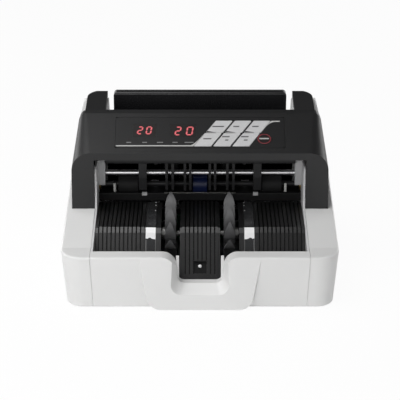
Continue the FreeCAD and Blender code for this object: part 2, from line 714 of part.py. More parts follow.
def shaft(y, z, left, right):
    rod = cyl_x(y, z, SHAFT_R, -left, right)
    return rod.makeChamfer(0.5, [rod.Edges[0], rod.Edges[2]])


def sleeve(y, z, radius, x0, x1):
    ring = cyl_x(y, z, radius, x0, x1)
    ring = ring.makeChamfer(0.6, [ring.Edges[0], ring.Edges[2]])
    return ring.cut(cyl_x(y, z, SHAFT_R, x0 - 1, x1 + 1))


def lower_guide():
    half = frame_x()[0] - SEAM
    top = GUIDE_Z
    profile = [(GUIDE_FRONT, top - GUIDE_LIP), (GUIDE_FRONT + 4, top - GUIDE_LIP),
               (GUIDE_FRONT + 4, top - GUIDE_T), (GUIDE_REAR, top - GUIDE_T), (GUIDE_REAR, top),
               (GUIDE_FRONT, top)]
    plate = along_x(profile, -half, half, [0, 0, 0, 0, 1, 1.5])
    reach = DRUM_R + 1.0
    slots = [both(box(DRUM_X[0] - 1, DRUM_X[1] + 1, DRIVE_Y - reach, DRIVE_Y + reach, 0, LIP_Z * 3))]
    slots.append(box(-CENTRE_HALF - 0.7, CENTRE_HALF + 0.7, DRIVE_Y - reach, DRIVE_Y + reach, 0, LIP_Z * 3))
    slots.append(cyl_x(DRIVE_Y, DRIVE_Z, SHAFT_R + 0.5, -RIM_HALF, RIM_HALF))
    flange = frame_x()[0] - BUSH_FLANGE_T - SEAM
    slots.append(both(cyl_x(DRIVE_Y, DRIVE_Z, BUSH_FLANGE_R + SEAM, flange, RIM_HALF)))
    for cutter in slots:
        plate = plate.cut(cutter)
    return plate


def upper_guide():
    y0, y1 = COMB_Y
    half = BLOCK_IN - SEAM
    section = [(y0, COMB_Z[0]), (y1, COMB_Z[0]), (y1, COMB_Z[1]), (y0, COMB_Z[1])]
    bar = along_x(section, -half, half, [2, 1, 1, 2])
    front = PINCH_Y - SHAFT_R - 1.2
    tooth = [(y0 + 1, COMB_Z[0] + 2), (y0 + 1, COMB_TIP_Z + 16), (y0 + 5, COMB_TIP_Z),
             (front, COMB_TIP_Z), (front, COMB_Z[0] + 2)]
    teeth = [bar]
    for x in RIB_X:
        teeth.append(along_x(tooth, x - RIB_W / 2, x + RIB_W / 2, [0, 6, 1, 1, 0]))
        teeth.append(along_x(tooth, -x - RIB_W / 2, -x + RIB_W / 2, [0, 6, 1, 1, 0]))
    teeth.append(along_x(tooth, FINGER_X[0], FINGER_X[1], [0, 8, 1, 1, 0]))
    teeth.append(along_x(tooth, -FINGER_X[1], -FINGER_X[0], [0, 8, 1, 1, 0]))
    return fuse(teeth)


def leaf_springs():
    y0 = COMB_Y[1] + 0.05
    x0 = (RIB_X[3] + FINGER_X[0]) / 2 - 2
    top = COMB_Z[1] - 1
    blade = [(x0, top), (x0 + 6.5, top), (x0 + 6.5, top - 8), (x0 + 4.4, top - 12), (x0 + 2.1, top - 12),
             (x0, top - 8)]
    return both(along_y(blade, y0, y0 + 0.5))


def sensor_posts():
    post = cyl_z(DRUM_X[1] + 4, GUIDE_FRONT + 4.5, 1.4, GUIDE_Z, GUIDE_Z + 9.5)
    return both(post.makeFillet(0.8, [post.Edges[0]]))


# Stacker
def stack_points(out):
    """Outer line of the stacker plate, moved outward by a given amount."""
    line = [STACK_FOOT, STACK_RIDGE, STACK_TOP, (STACK_REAR, STACK_TOP[1])]
    moved = []
    for i, (y, z) in enumerate(line):
        normals = []
        for a, b in ((i - 1, i), (i, i + 1)):
            if a < 0 or b >= len(line):
                continue
            run = math.hypot(line[b][0] - line[a][0], line[b][1] - line[a][1])
            normals.append((-(line[b][1] - line[a][1]) / run, (line[b][0] - line[a][0]) / run))
        ny = sum(n[0] for n in normals)
        nz = sum(n[1] for n in normals)
        length = math.hypot(ny, nz)
        shrink = length / len(normals)
        moved.append((y + out * ny / length / shrink, z + out * nz / length / shrink))
    return moved


def stack_strip(x0, x1, out, depth):
    return along_x(stack_points(out) + stack_points(out - depth)[::-1], x0, x1)


def slope_point(share):
    y = STACK_FOOT[0] + share * (STACK_RIDGE[0] - STACK_FOOT[0])
    z = STACK_FOOT[1] + share * (STACK_RIDGE[1] - STACK_FOOT[1])
    return y, z


SENSOR_AT = slope_point(0.26)
SENSOR_W = 14.0
SENSOR_H = 13.0
STACK_LEAN = math.degrees(math.atan2(STACK_RIDGE[1] - STACK_FOOT[1], STACK_RIDGE[0] - STACK_FOOT[0]))


def on_slope(shape):
    """Moves a shape drawn flat, with Y up the stacker slope and Z outward, to the sensor's place."""
    placed = shape.copy()
    placed.rotate(V(0, 0, 0), V(1, 0, 0), STACK_LEAN)
    placed.translate(V(0, SENSOR_AT[0], SENSOR_AT[1]))
    return placed


def stacker_plate():
    pieces = [stack_strip(-TONGUE_HALF, TONGUE_HALF, 0, STACK_T)]
    for x0, x1 in ((WHEEL_SLOT[1], WINDOW_X[0] - 0.1), (WINDOW_X[1] + 0.1, STACK_HALF)):
        pieces.append(stack_strip(x0, x1, 0, STACK_T))
        pieces.append(stack_strip(-x1, -x0, 0, STACK_T))
    y, z = STACK_FOOT
    floor = [(LIP_DEPTH + 2 * SEAM, z - STACK_T), (y + STACK_T, z - STACK_T), (y + STACK_T, z),
             (LIP_DEPTH + 2 * SEAM, z)]
    pieces.append(along_x(floor, -STACK_HALF, STACK_HALF))
    back = WHEEL_Y + WHEEL_R + 4
    top = STACK_TOP[1]
    pieces.append(box(-STACK_HALF, STACK_HALF, back, STACK_REAR, top - 2 * STACK_T, top - STACK_T + 0.01))
    pieces.append(box(-STACK_HALF, STACK_HALF, y, y + STACK_T, FOOT_H + BASE_T, z - STACK_T + 0.01))
    ribs = []
    count = int(2 * (TONGUE_HALF - 1) / RIB_PITCH)
    for i in range(count):
        x = (i - (count - 1) / 2) * RIB_PITCH
        ribs.append(stack_strip(x - RIB_FLAT / 2, x + RIB_FLAT / 2, RIB_H, RIB_H + 0.5))
    side_count = int((STACK_HALF - WINDOW_X[1] - 1) / RIB_PITCH)
    for i in range(side_count):
        x = WINDOW_X[1] + 1 + (i + 0.5) * RIB_PITCH
        ribs.append(stack_strip(x - RIB_FLAT / 2, x + RIB_FLAT / 2, RIB_H, RIB_H + 0.5))
        ribs.append(stack_strip(-x - RIB_FLAT / 2, -x + RIB_FLAT / 2, RIB_H, RIB_H + 0.5))
    plate = fuse(pieces + ribs)
    recess = on_slope(box(-SENSOR_W / 2, SENSOR_W / 2, -SENSOR_H / 2, SENSOR_H / 2, -STACK_T - 3, 5))
    return plate.cut(recess)


def stack_sensor():
    gap = 0.05
    block = box(-SENSOR_W / 2 + gap, SENSOR_W / 2 - gap, -SENSOR_H / 2 + gap, SENSOR_H / 2 - gap,
                -STACK_T - 2, -STACK_T + 0.8)
    dome = Part.makeSphere(2.2, V(0, 1.5, -STACK_T + 1.2))
    return on_slope(fuse([block, dome]))


def sensor_windows():
    strip = stack_strip(WINDOW_X[0], WINDOW_X[1], 0.4, STACK_T)
    heel = box(WINDOW_X[0] - 1, WINDOW_X[1] + 1, 0, STACK_RIDGE[0], 0, STACK_FOOT[1] + 0.1)
    return both(strip.cut(heel))


def stacker_wheel(x):
    """Hub with curved rubber blades whose tips trail and narrow to a point."""
    x0 = x - WHEEL_W / 2
    x1 = x + WHEEL_W / 2
    hub = cyl_x(0, 0, HUB_R, x0, x1)
    sweep = WHEEL_R * 0.62
    root = V(x0, 0, HUB_R - 1.5)
    tip = V(x0, sweep * 0.98, math.sqrt(WHEEL_R ** 2 - (sweep * 0.98) ** 2))
    middle = (root + tip) * 0.5 + V(0, -5.2, 4.2)
    outer = Part.Arc(root + V(0, -BLADE_T, 0), middle + V(0, -BLADE_T * 0.7, BLADE_T * 0.5), tip).toShape()
    inner = Part.Arc(tip, middle, root).toShape()
    heel = Part.makeLine(root, root + V(0, -BLADE_T, 0))
    blade = Part.Face(Part.Wire([outer, inner, heel])).extrude(V(WHEEL_W, 0, 0))
    shapes = [hub]
    for i in range(BLADES):
        turned = blade.copy()
        turned.rotate(V(0, 0, 0), V(1, 0, 0), BLADE_TURN + 360.0 * i / BLADES)
        shapes.append(turned)
    half = WHEEL_W / 2
    shoulder = WHEEL_R * 0.72
    tip_a = V(x - 0.4, 0, WHEEL_R)
    tip_b = V(x + 0.4, 0, WHEEL_R)
    side = Part.Arc(V(x0, 0, shoulder), V(x0 + half * 0.34, 0, WHEEL_R * 0.89), tip_a).toShape()
    other = Part.Arc(tip_b, V(x1 - half * 0.34, 0, WHEEL_R * 0.89), V(x1, 0, shoulder)).toShape()
    ring = Part.Wire([Part.makeLine(V(x0, 0, 0), V(x0, 0, shoulder)), side, Part.makeLine(tip_a, tip_b),
                      other, Part.makeLine(V(x1, 0, shoulder), V(x1, 0, 0)),
                      Part.makeLine(V(x1, 0, 0), V(x0, 0, 0))])
    envelope = Part.Face(ring).revolve(V(0, 0, 0), V(1, 0, 0), 360)
    wheel = fuse(shapes).common(envelope)
    wheel = wheel.cut(cyl_x(0, 0, SHAFT_R, x0 - 1, x1 + 1))
    wheel.translate(V(0, WHEEL_Y, WHEEL_Z))
    return wheel


def wheel_collars():
    x0 = WHEEL_X + WHEEL_W / 2 + 0.05
    ring = cyl_x(WHEEL_Y, WHEEL_Z, SHAFT_R + 3.5, x0, x0 + 3.5)
    return both(ring.cut(cyl_x(WHEEL_Y, WHEEL_Z, SHAFT_R, x0 - 1, x0 + 5)))


# Drives
def pulley(y, z, radius, bore):
    """Flanged belt pulley on the right-hand side."""
    groove = (PULLEY_W - BELT_W - 0.8) / 2
    body = cyl_x(y, z, radius, PULLEY_X0, PULLEY_X1)
    inner = cyl_x(y, z, radius + FLANGE + BELT_T, PULLEY_X0, PULLEY_X0 + groove)
    outer = cyl_x(y, z, radius + FLANGE + BELT_T, PULLEY_X1 - groove, PULLEY_X1)
    return fuse([body, inner, outer]).cut(cyl_x(y, z, bore, 0, RIM_HALF))


def belt(a, ra, b, rb):
    """Closed belt round two pulleys on the right-hand side, given by their centres and radii."""
    def loop(extra):
        r1 = ra + extra
        r2 = rb + extra
        run = V(0, b[0] - a[0], b[1] - a[1])
        ahead = V(0, run.y, run.z).normalize()
        side = V(0, -ahead.z, ahead.y)
        lean = math.asin((r1 - r2) / run.Length)
        x0 = (PULLEY_X0 + PULLEY_X1 - BELT_W) / 2
        ca = V(x0, a[0], a[1])
        cb = V(x0, b[0], b[1])
        up = ahead * math.sin(lean) + side * math.cos(lean)
        down = ahead * math.sin(lean) - side * math.cos(lean)
        edges = [Part.makeLine(ca + up * r1, cb + up * r2),
                 Part.Arc(cb + up * r2, cb + ahead * r2, cb + down * r2).toShape(),
                 Part.makeLine(cb + down * r2, ca + down * r1),
                 Part.Arc(ca + down * r1, ca - ahead * r1, ca + up * r1).toShape()]
        return Part.Face(Part.Wire(edges)).extrude(V(BELT_W, 0, 0))
    return loop(BELT_GAP + BELT_T).cut(loop(BELT_GAP))


def motor(y, z, radius):
    """Motor body with end cap, standing on the right-hand frame."""
    x1 = frame_x()[0] - 0.05
    can = cyl_x(y, z, radius, x1 - MOTOR_L, x1)
    can = can.makeFillet(2.0, [can.Edges[2]])
    cap = cyl_x(y, z, radius * 0.4, x1 - MOTOR_L - 4, x1 - MOTOR_L + 1)
    saddle = box(x1 - MOTOR_L + 6, x1 - 12, y - radius * 0.6, y + radius * 0.6, FOOT_H + BASE_T, z)
    boss = cyl_x(y, z, SHAFT_R + 0.4, x1 - 8, x1 + 2)
    return fuse([can, cap, saddle]).cut(boss)


def motor_rotor(y, z):
    """Motor shaft with its pulley in one piece."""
    rod = cyl_x(y, z, SHAFT_R, frame_x()[0] - 6, PULLEY_X1 + 1)
    return fuse([rod, pulley(y, z, MOTOR_PULLEY_R, SHAFT_R - 1)])


def motor_hole(frame, y, z):
    return frame.cut(cyl_x(y, z, SHAFT_R + 1.0, 0, RIM_HALF))


# Electrics
REAR_FACE = DEPTH - WALL
FLOOR_Z = FOOT_H + BASE_T


def main_board():
    rear = REAR_FACE - MAIN_BOARD_REAR
    front = rear - MAIN_BOARD_D
    x0, x1 = MAIN_BOARD_X
    top = FLOOR_Z + STANDOFF + BOARD_T
    parts = [box(x0, x1, front, rear, FLOOR_Z + STANDOFF, top)]
    for x in (x0 + 4, x1 - 4):
        for y in (front + 4, rear - 4):
            parts.append(cyl_z(x, y, 2.2, FLOOR_Z, top - 0.5))
    for i in range(4):
        parts.append(cyl_z(x0 + 14 + i * 14, rear - 18, 4.0, top - 0.5, top + 12))
    parts.append(box(x0 + 18, x0 + 48, front + 6, front + 18, top - 0.5, top + 3))
    return fuse(parts)


def transformer():
    y0 = REAR_FACE - CORE_REAR
    x0 = COIL_X - CORE_W / 2
    x1 = COIL_X + CORE_W / 2
    core = box(x0, x1, y0, y0 + CORE_D, FLOOR_Z, FLOOR_Z + CORE_H)
    winding = [(x0 + COIL_OVER, FLOOR_Z + 7), (x1 - COIL_OVER, FLOOR_Z + 7),
               (x1 - COIL_OVER, FLOOR_Z + CORE_H - 7), (x0 + COIL_OVER, FLOOR_Z + CORE_H - 7)]
    coil = along_y(winding, y0 - COIL_OVER, y0 + CORE_D + COIL_OVER, [4] * 4)
    foot = box(x0 - 2, x1 + 10, y0 + 8, y0 + CORE_D - 8, FLOOR_Z, FLOOR_Z + 2)
    return fuse([core, coil, foot])


def power_inlet():
    w = INLET_W / 2 - 0.05
    h = INLET_H / 2 - 0.05
    shroud = along_y([(INLET_X - w, INLET_Z - h), (INLET_X + w, INLET_Z - h), (INLET_X + w, INLET_Z + h),
                      (INLET_X - w, INLET_Z + h)], REAR_FACE - 8, REAR_FACE + WALL, [0.5, 0.5, 5, 5])
    socket = along_y([(INLET_X - w + 2, INLET_Z - h + 2), (INLET_X + w - 2, INLET_Z - h + 2),
                      (INLET_X + w - 2, INLET_Z + h - 2), (INLET_X - w + 2, INLET_Z + h - 2)],
                     REAR_FACE - 6, REAR_FACE + WALL + 1, [0.5, 0.5, 4, 4])
    blades = []
    for dx, dz in ((-7, -1), (0, 3), (7, -1)):
        blades.append(box(INLET_X + dx - 1, INLET_X + dx + 1, REAR_FACE - 7, REAR_FACE, INLET_Z + dz - 2.5,
                          INLET_Z + dz + 2.5))
    return fuse([shroud.cut(socket)] + blades)


def power_switch():
    frame = box(SWITCH_X - SWITCH_W / 2, SWITCH_X + SWITCH_W / 2, REAR_FACE + 0.05, REAR_FACE + 1.8,
                INLET_Z - SWITCH_H / 2, INLET_Z + SWITCH_H / 2)
    body = box(SWITCH_X - SWITCH_W / 2 + 1.55, SWITCH_X + SWITCH_W / 2 - 1.55, REAR_FACE - 12, REAR_FACE + 1,
               INLET_Z - SWITCH_H / 2 + 1.55, INLET_Z + SWITCH_H / 2 - 1.55)
    well = box(SWITCH_X - ROCKER_W / 2 - SEAM, SWITCH_X + ROCKER_W / 2 + SEAM, REAR_FACE - 9, REAR_FACE + 5,
               INLET_Z - ROCKER_H / 2 - 1.0, INLET_Z + ROCKER_H / 2 + 1.0)
    return fuse([frame, body]).cut(well)


ROCKER_PIVOT_Y = REAR_FACE - 3.0


def switch_rocker():
    half = ROCKER_H / 2
    back = REAR_FACE + 0.6
    profile = [(ROCKER_PIVOT_Y - 2.5, INLET_Z - 4), (back, INLET_Z - half), (back + 0.4, INLET_Z),
               (back, INLET_Z + half), (ROCKER_PIVOT_Y - 2.5, INLET_Z + 4)]
    rocker = along_x(profile, SWITCH_X - ROCKER_W / 2, SWITCH_X + ROCKER_W / 2, [1, 1, 0, 1, 1])
    rocker.rotate(V(0, ROCKER_PIVOT_Y, INLET_Z), V(1, 0, 0), ROCKER_TILT)
    return rocker


def screw_heads(spots, direction):
    heads = []
    for point in spots:
        head = Part.makeCylinder(SCREW_R, SCREW_H, point, direction)
        slot = Part.makeBox(SCREW_R * 1.4, 0.8, 1.0, V(-SCREW_R * 0.7, -0.4, SCREW_H - 0.8))
        cross = slot.copy()
        cross.rotate(V(0, 0, 0), V(0, 0, 1), 90)
        drive = Part.makeCompound([slot, cross])
        drive.Placement = FreeCAD.Placement(point, FreeCAD.Rotation(V(0, 0, 1), direction))
        heads.append(head.cut(drive))
    return Part.makeCompound(heads)


def rear_screws():
    spots = []
    for x in (-HOPPER_HALF + 10, HOPPER_HALF - 10):
        for z in (FLOOR_Z + 10, REAR_WALL_Z - 10):
            spots.append(V(x, REAR_FACE, z))
    return screw_heads(spots, V(0, 1, 0))


def base_screws():
    spots = []
    for x in (-POCKET_HALF + 8, POCKET_HALF - 8):
        for y in (CORNER_R + 5, DEPTH / 2, DEPTH - CORNER_R - 5):
            spots.append(V(x, y, FOOT_H))
    return screw_heads(spots, V(0, 0, -1))


# Write every piece
right_cover = side_cover()
save("side_cover_right", right_cover)
save("side_cover_left", mirrored(right_cover))
save("front_panel", front_panel())
save("rear_housing", rear_housing())
save("base_plate", base_plate())
save("rubber_feet", rubber_feet())
save("control_cover", control_cover())
save("panel_overlay", panel_overlay())
for number, key_name in enumerate(("lower_left", "lower_middle", "lower_right",
                                   "upper_left", "upper_middle", "upper_right")):
    save("key_" + key_name, slanted_key(number))
save("key_reset", reset_key())
save("led_displays", Part.makeCompound([display(BATCH_X), display(COUNT_X)]))
save("control_board", control_board())
save("hopper_tray", hopper_tray())
save("carry_handle", carry_handle())
save("handle_pins", handle_pins())
save("gap_knob", gap_knob())
frame_right = motor_hole(side_frame(), FEED_MOTOR_Y, FEED_MOTOR_Z)
frame_left = motor_hole(side_frame(), STACK_MOTOR_Y, STACK_MOTOR_Z)
save("side_frame_right", frame_right)
save("side_frame_left", mirrored(frame_left))
block_right = bearing_block()
save("bearing_block_right", block_right)
save("bearing_block_left", mirrored(block_right))
save("shaft_bushes", bushes(BORE_SPOTS))
save("lower_guide", lower_guide())
save("upper_guide", upper_guide())
save("leaf_springs", leaf_springs())
save("sensor_posts", sensor_posts())
save("pinch_shaft", shaft(PINCH_Y, PINCH_Z, SHAFT_END, SHAFT_END))
save("drive_shaft", shaft(DRIVE_Y, DRIVE_Z, PULLEY_X1 + 1, PULLEY_X1 + 1))
save("drum_rollers", both(sleeve(DRIVE_Y, DRIVE_Z, DRUM_R, DRUM_X[0], DRUM_X[1])))
save("centre_roller", sleeve(DRIVE_Y, DRIVE_Z, DRUM_R, -CENTRE_HALF, CENTRE_HALF))
save("drive_pulley", pulley(DRIVE_Y, DRIVE_Z, DRIVE_PULLEY_R, SHAFT_R))
save("transfer_pulley", mirrored(pulley(DRIVE_Y, DRIVE_Z, PICK_PULLEY_R, SHAFT_R)))
save("pickup_shaft", shaft(PICK_Y, PICK_Z, PULLEY_X1 + 1, SHAFT_END))
save("pickup_rollers", both(sleeve(PICK_Y, PICK_Z, PICK_R, PICK_X[0], PICK_X[1])))
save("pickup_pulley", mirrored(pulley(PICK_Y, PICK_Z, PICK_PULLEY_R, SHAFT_R)))
save("stacker_plate", stacker_plate())
save("stack_sensor", stack_sensor())
save("sensor_windows", sensor_windows())
save("stacker_shaft", shaft(WHEEL_Y, WHEEL_Z, PULLEY_X1 + 1, SHAFT_END))
save("stacker_wheel_right", stacker_wheel(WHEEL_X))
save("stacker_wheel_left", stacker_wheel(-WHEEL_X))
save("wheel_collars", wheel_collars())
save("stacker_pulley", mirrored(pulley(WHEEL_Y, WHEEL_Z, STACK_PULLEY_R, SHAFT_R)))
save("feed_motor", motor(FEED_MOTOR_Y, FEED_MOTOR_Z, FEED_MOTOR_R))
save("feed_motor_rotor", motor_rotor(FEED_MOTOR_Y, FEED_MOTOR_Z))
save("stacker_motor", mirrored(motor(STACK_MOTOR_Y, STACK_MOTOR_Z, STACK_MOTOR_R)))
save("stacker_motor_rotor", mirrored(motor_rotor(STACK_MOTOR_Y, STACK_MOTOR_Z)))
drive_spot = (DRIVE_Y, DRIVE_Z)
wheel_spot = (WHEEL_Y, WHEEL_Z)
save("feed_belt", belt(drive_spot, DRIVE_PULLEY_R, (FEED_MOTOR_Y, FEED_MOTOR_Z), MOTOR_PULLEY_R))
save("transfer_belt", mirrored(belt(drive_spot, PICK_PULLEY_R, (PICK_Y, PICK_Z), PICK_PULLEY_R)))
motor_spot = (STACK_MOTOR_Y, STACK_MOTOR_Z)
save("stacker_belt", mirrored(belt(wheel_spot, STACK_PULLEY_R, motor_spot, MOTOR_PULLEY_R)))
save("main_board", main_board())
save("transformer", transformer())
save("power_inlet", power_inlet())
save("power_switch", power_switch())
save("switch_rocker", switch_rocker())
save("screws", Part.makeCompound(rear_screws().Solids + base_screws().Solids))
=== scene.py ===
import json
import math

import bpy
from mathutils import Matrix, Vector


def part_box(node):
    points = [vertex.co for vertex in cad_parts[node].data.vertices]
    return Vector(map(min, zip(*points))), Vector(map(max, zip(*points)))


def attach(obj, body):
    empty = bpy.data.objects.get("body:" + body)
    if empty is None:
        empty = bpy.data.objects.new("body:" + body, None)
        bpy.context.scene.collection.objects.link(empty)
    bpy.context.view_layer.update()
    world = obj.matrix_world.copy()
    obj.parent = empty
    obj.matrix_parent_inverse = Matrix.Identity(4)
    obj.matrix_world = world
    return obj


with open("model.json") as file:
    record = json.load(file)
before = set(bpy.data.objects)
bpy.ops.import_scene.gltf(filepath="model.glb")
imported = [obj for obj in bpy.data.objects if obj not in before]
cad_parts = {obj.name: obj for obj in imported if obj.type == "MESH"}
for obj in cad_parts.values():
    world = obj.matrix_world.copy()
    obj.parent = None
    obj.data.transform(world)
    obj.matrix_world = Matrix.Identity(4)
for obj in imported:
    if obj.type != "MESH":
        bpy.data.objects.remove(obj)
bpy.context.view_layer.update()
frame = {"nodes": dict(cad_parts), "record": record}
nodes = frame["nodes"]

MM = 0.001
ACROSS = Vector((1, 0, 0))


# Materials
GRAIN_DETAIL = 4.0
MOTTLE_DETAIL = 3.0
MOTTLE_SPAN = (0.3, 0.7)
GLOSS_SPREAD = 0.06
LEAST_ROUGHNESS = 0.02
GRAIN_DEPTH = 0.0004
SMOKY_COLOUR = (0.05, 0.051, 0.053)
SMOKY_ROUGHNESS = 0.16
SMOKY_CLEARNESS = 0.35
SMOKY_IOR = 1.46
LIT_ROUGHNESS = 0.35
LIT_VARY = 0.12
LIT_MOTTLE = 400.0


def new_material(name):
    material = bpy.data.materials.new(name)
    material.use_nodes = True
    return material, material.node_tree.nodes, material.node_tree.links


def textured(name, colour, roughness, scale=700.0, bump=0.05, vary=0.08, metallic=0.0, stretch=(1, 1, 1),
             specular=0.5, mottle=14.0):
    """Surface with fine grain, mottled colour and uneven gloss."""
    material, tree, links = new_material(name)
    shader = tree["Principled BSDF"]
    shader.inputs["Metallic"].default_value = metallic
    shader.inputs["Specular IOR Level"].default_value = specular
    place = tree.new("ShaderNodeTexCoord")
    mapping = tree.new("ShaderNodeMapping")
    mapping.inputs["Scale"].default_value = stretch
    links.new(place.outputs["Object"], mapping.inputs["Vector"])
    grain = tree.new("ShaderNodeTexNoise")
    grain.inputs["Scale"].default_value = scale
    grain.inputs["Detail"].default_value = GRAIN_DETAIL
    links.new(mapping.outputs["Vector"], grain.inputs["Vector"])
    drift = tree.new("ShaderNodeTexNoise")
    drift.inputs["Scale"].default_value = mottle
    drift.inputs["Detail"].default_value = MOTTLE_DETAIL
    links.new(mapping.outputs["Vector"], drift.inputs["Vector"])
    ramp = tree.new("ShaderNodeValToRGB")
    dark, pale = ramp.color_ramp.elements
    dark.position, pale.position = MOTTLE_SPAN
    dark.color = [c * (1 - vary) for c in colour] + [1]
    pale.color = [min(1.0, c * (1 + vary)) for c in colour] + [1]
    links.new(drift.outputs["Fac"], ramp.inputs["Fac"])
    links.new(ramp.outputs["Color"], shader.inputs["Base Color"])
    gloss = tree.new("ShaderNodeMapRange")
    gloss.inputs["To Min"].default_value = max(LEAST_ROUGHNESS, roughness - GLOSS_SPREAD)
    gloss.inputs["To Max"].default_value = min(1.0, roughness + GLOSS_SPREAD)
    links.new(grain.outputs["Fac"], gloss.inputs["Value"])
    links.new(gloss.outputs["Result"], shader.inputs["Roughness"])
    relief = tree.new("ShaderNodeBump")
    relief.inputs["Strength"].default_value = bump
    relief.inputs["Distance"].default_value = GRAIN_DEPTH
    links.new(grain.outputs["Fac"], relief.inputs["Height"])
    links.new(relief.outputs["Normal"], shader.inputs["Normal"])
    return material


def smoky_plastic(name):
    """Dark clear moulding that lets some light through."""
    material = textured(name, SMOKY_COLOUR, SMOKY_ROUGHNESS, scale=300, bump=0.02, vary=0.2)
    shader = material.node_tree.nodes["Principled BSDF"]
    shader.inputs["Transmission Weight"].default_value = SMOKY_CLEARNESS
    shader.inputs["IOR"].default_value = SMOKY_IOR
    return material


def lit(name, colour, strength):
    """Lit film whose brightness drifts a little across each mark."""
    material = textured(name, colour, LIT_ROUGHNESS, vary=LIT_VARY, mottle=LIT_MOTTLE)
    shader = material.node_tree.nodes["Principled BSDF"]
    ramp = [n for n in material.node_tree.nodes if n.type == "VALTORGB"][0]
    material.node_tree.links.new(ramp.outputs["Color"], shader.inputs["Emission Color"])
    shader.inputs["Emission Strength"].default_value = strength
    return material


FINISH = {
    "white_shell": textured("white_shell", (0.74, 0.74, 0.735), 0.42, scale=1400, bump=0.04, vary=0.015),
    "black_cover": textured("black_cover", (0.012, 0.012, 0.0125), 0.44, scale=2200, bump=0.1, specular=0.4),
    "black_gloss": textured("black_gloss", (0.010, 0.010, 0.011), 0.26, scale=900, bump=0.02, specular=0.4),
    "overlay": textured("overlay", (0.010, 0.010, 0.0105), 0.44, scale=2600, bump=0.05, specular=0.4),
    "key_silver": textured("key_silver", (0.55, 0.55, 0.555), 0.46, scale=2600, bump=0.06, mottle=1500),
    "key_ring": textured("key_ring", (0.018, 0.014, 0.014), 0.4, scale=2600, bump=0.05, specular=0.3),
    "display": textured("display", (0.010, 0.008, 0.008), 0.42, scale=1500, bump=0.02, specular=0.4),
    "frame_grey": textured("frame_grey", (0.62, 0.62, 0.625), 0.48, scale=1600, bump=0.06),
    "block_grey": textured("block_grey", (0.52, 0.52, 0.525), 0.5, scale=1600, bump=0.06),
    "steel": textured("steel", (0.72, 0.72, 0.73), 0.36, scale=500, bump=0.04, metallic=1.0,
                      stretch=(40, 1, 1)),
    "dark_steel": textured("dark_steel", (0.02, 0.02, 0.021), 0.4, scale=500, bump=0.04, specular=0.3),
    "rubber": textured("rubber", (0.012, 0.012, 0.0125), 0.62, scale=1500, bump=0.2, specular=0.2),
    "wheel_rubber": textured("wheel_rubber", (0.083, 0.083, 0.085), 0.45, scale=1500, bump=0.08, vary=0.12,
                             mottle=60),
    # Painted light: the roller's dark blue stands in for the UV lamp's blue glow falling on it
    "blue_roller": textured("blue_roller", (0.005, 0.010, 0.045), 0.34, scale=800, bump=0.02, specular=0.25),
    "black_inner": textured("black_inner", (0.007, 0.007, 0.0073), 0.33, scale=2000, bump=0.06,
                            specular=0.6),
    # Painted shade: black and grey for the plate's grooves and the dark sheets inside the rear wall; the
    # vent filter's black is its own colour
    "painted_shade_and_filter_black": textured("painted_shade_and_filter_black", (0.002, 0.002, 0.002), 0.6, scale=2000, bump=0.1,
                             specular=0.05),
    "painted_shade_grey": textured("painted_shade_grey", (0.006, 0.006, 0.006), 0.5, scale=2000, bump=0.1, specular=0.2),
    "guide_black": textured("guide_black", (0.007, 0.007, 0.0073), 0.5, scale=2000, bump=0.1, specular=0.18),
    "comb_black": textured("comb_black", (0.022, 0.022, 0.023), 0.5, scale=2000, bump=0.1, specular=0.25),
    "dull_zinc": textured("dull_zinc", (0.28, 0.28, 0.275), 0.45, scale=500, bump=0.06, metallic=0.8),
    "clear": smoky_plastic("clear"),
    "nylon": textured("nylon", (0.66, 0.66, 0.64), 0.4, scale=1200, bump=0.04, vary=0.03),
    "board": textured("board", (0.015, 0.10, 0.04), 0.4, scale=600, bump=0.1),
    "core": textured("core", (0.12, 0.12, 0.125), 0.5, scale=60, bump=0.3, stretch=(1, 30, 1)),
    "motor": textured("motor", (0.42, 0.42, 0.43), 0.34, scale=400, bump=0.05, metallic=0.9),
    "brass": textured("brass", (0.66, 0.48, 0.2), 0.3, scale=500, bump=0.05, metallic=1.0),
    "base": textured("base", (0.09, 0.09, 0.093), 0.5, scale=1200, bump=0.2),
    "zinc": textured("zinc", (0.58, 0.58, 0.55), 0.34, scale=500, bump=0.06, metallic=1.0),
    "digit": lit("digit", (0.46, 0.10, 0.11), 0.8),
    "digit_glow": lit("digit_glow", (0.08, 0.004, 0.005), 0.8),
    # Painted glow: faint red emission for the reset key's halo, which is no lamp
    "painted_glow_red": lit("painted_glow_red", (0.020, 0.006, 0.007), 0.3),
    # White of the window studs; on the window patches and the sensor's lens cap this white is painted
    # highlight
    "white_and_painted_highlight": textured("white_and_painted_highlight", (0.85, 0.85, 0.85), 0.2, scale=900, bump=0.02, vary=0.03),
    "print_white": textured("print_white", (0.46, 0.46, 0.45), 0.5, scale=2500, bump=0.03, mottle=900),
    "print_grey": textured("print_grey", (0.20, 0.20, 0.20), 0.5, scale=2500, bump=0.03, mottle=900),
    "print_dark": textured("print_dark", (0.085, 0.085, 0.085), 0.5, scale=2500, bump=0.03, mottle=900),
    "print_red": textured("print_red", (0.26, 0.040, 0.050), 0.4, scale=2500, bump=0.03, mottle=900),
}
# Nodes whose finish differs from that of their material slot
NODE_FINISH = {"stacker_wheel_left": "wheel_rubber", "stacker_wheel_right": "wheel_rubber",
               "upper_guide": "comb_black", "lower_guide": "guide_black", "hopper_tray": "guide_black",
               "leaf_springs": "dark_steel", "wheel_collars": "dull_zinc", "stacker_shaft": "dull_zinc",
               "stack_sensor": "guide_black"}

for entry in frame["record"]["subparts"]:
    mesh = nodes[entry["node"]].data
    mesh.materials.clear()
    mesh.materials.append(FINISH[NODE_FINISH.get(entry["node"], entry["material_slot"])])


# Small pieces
def corner(node, toward):
    """The node's point that lies furthest in a direction."""
    return max((v.co for v in nodes[node].data.vertices), key=lambda p: p.dot(toward)).copy()


def add_piece(name, points, faces, finish, body):
    mesh = bpy.data.meshes.new(name)
    mesh.from_pydata(points, [], faces)
    mesh.materials.append(FINISH[finish])
    piece = bpy.data.objects.new(name, mesh)
    bpy.context.scene.collection.objects.link(piece)
    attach(piece, body)


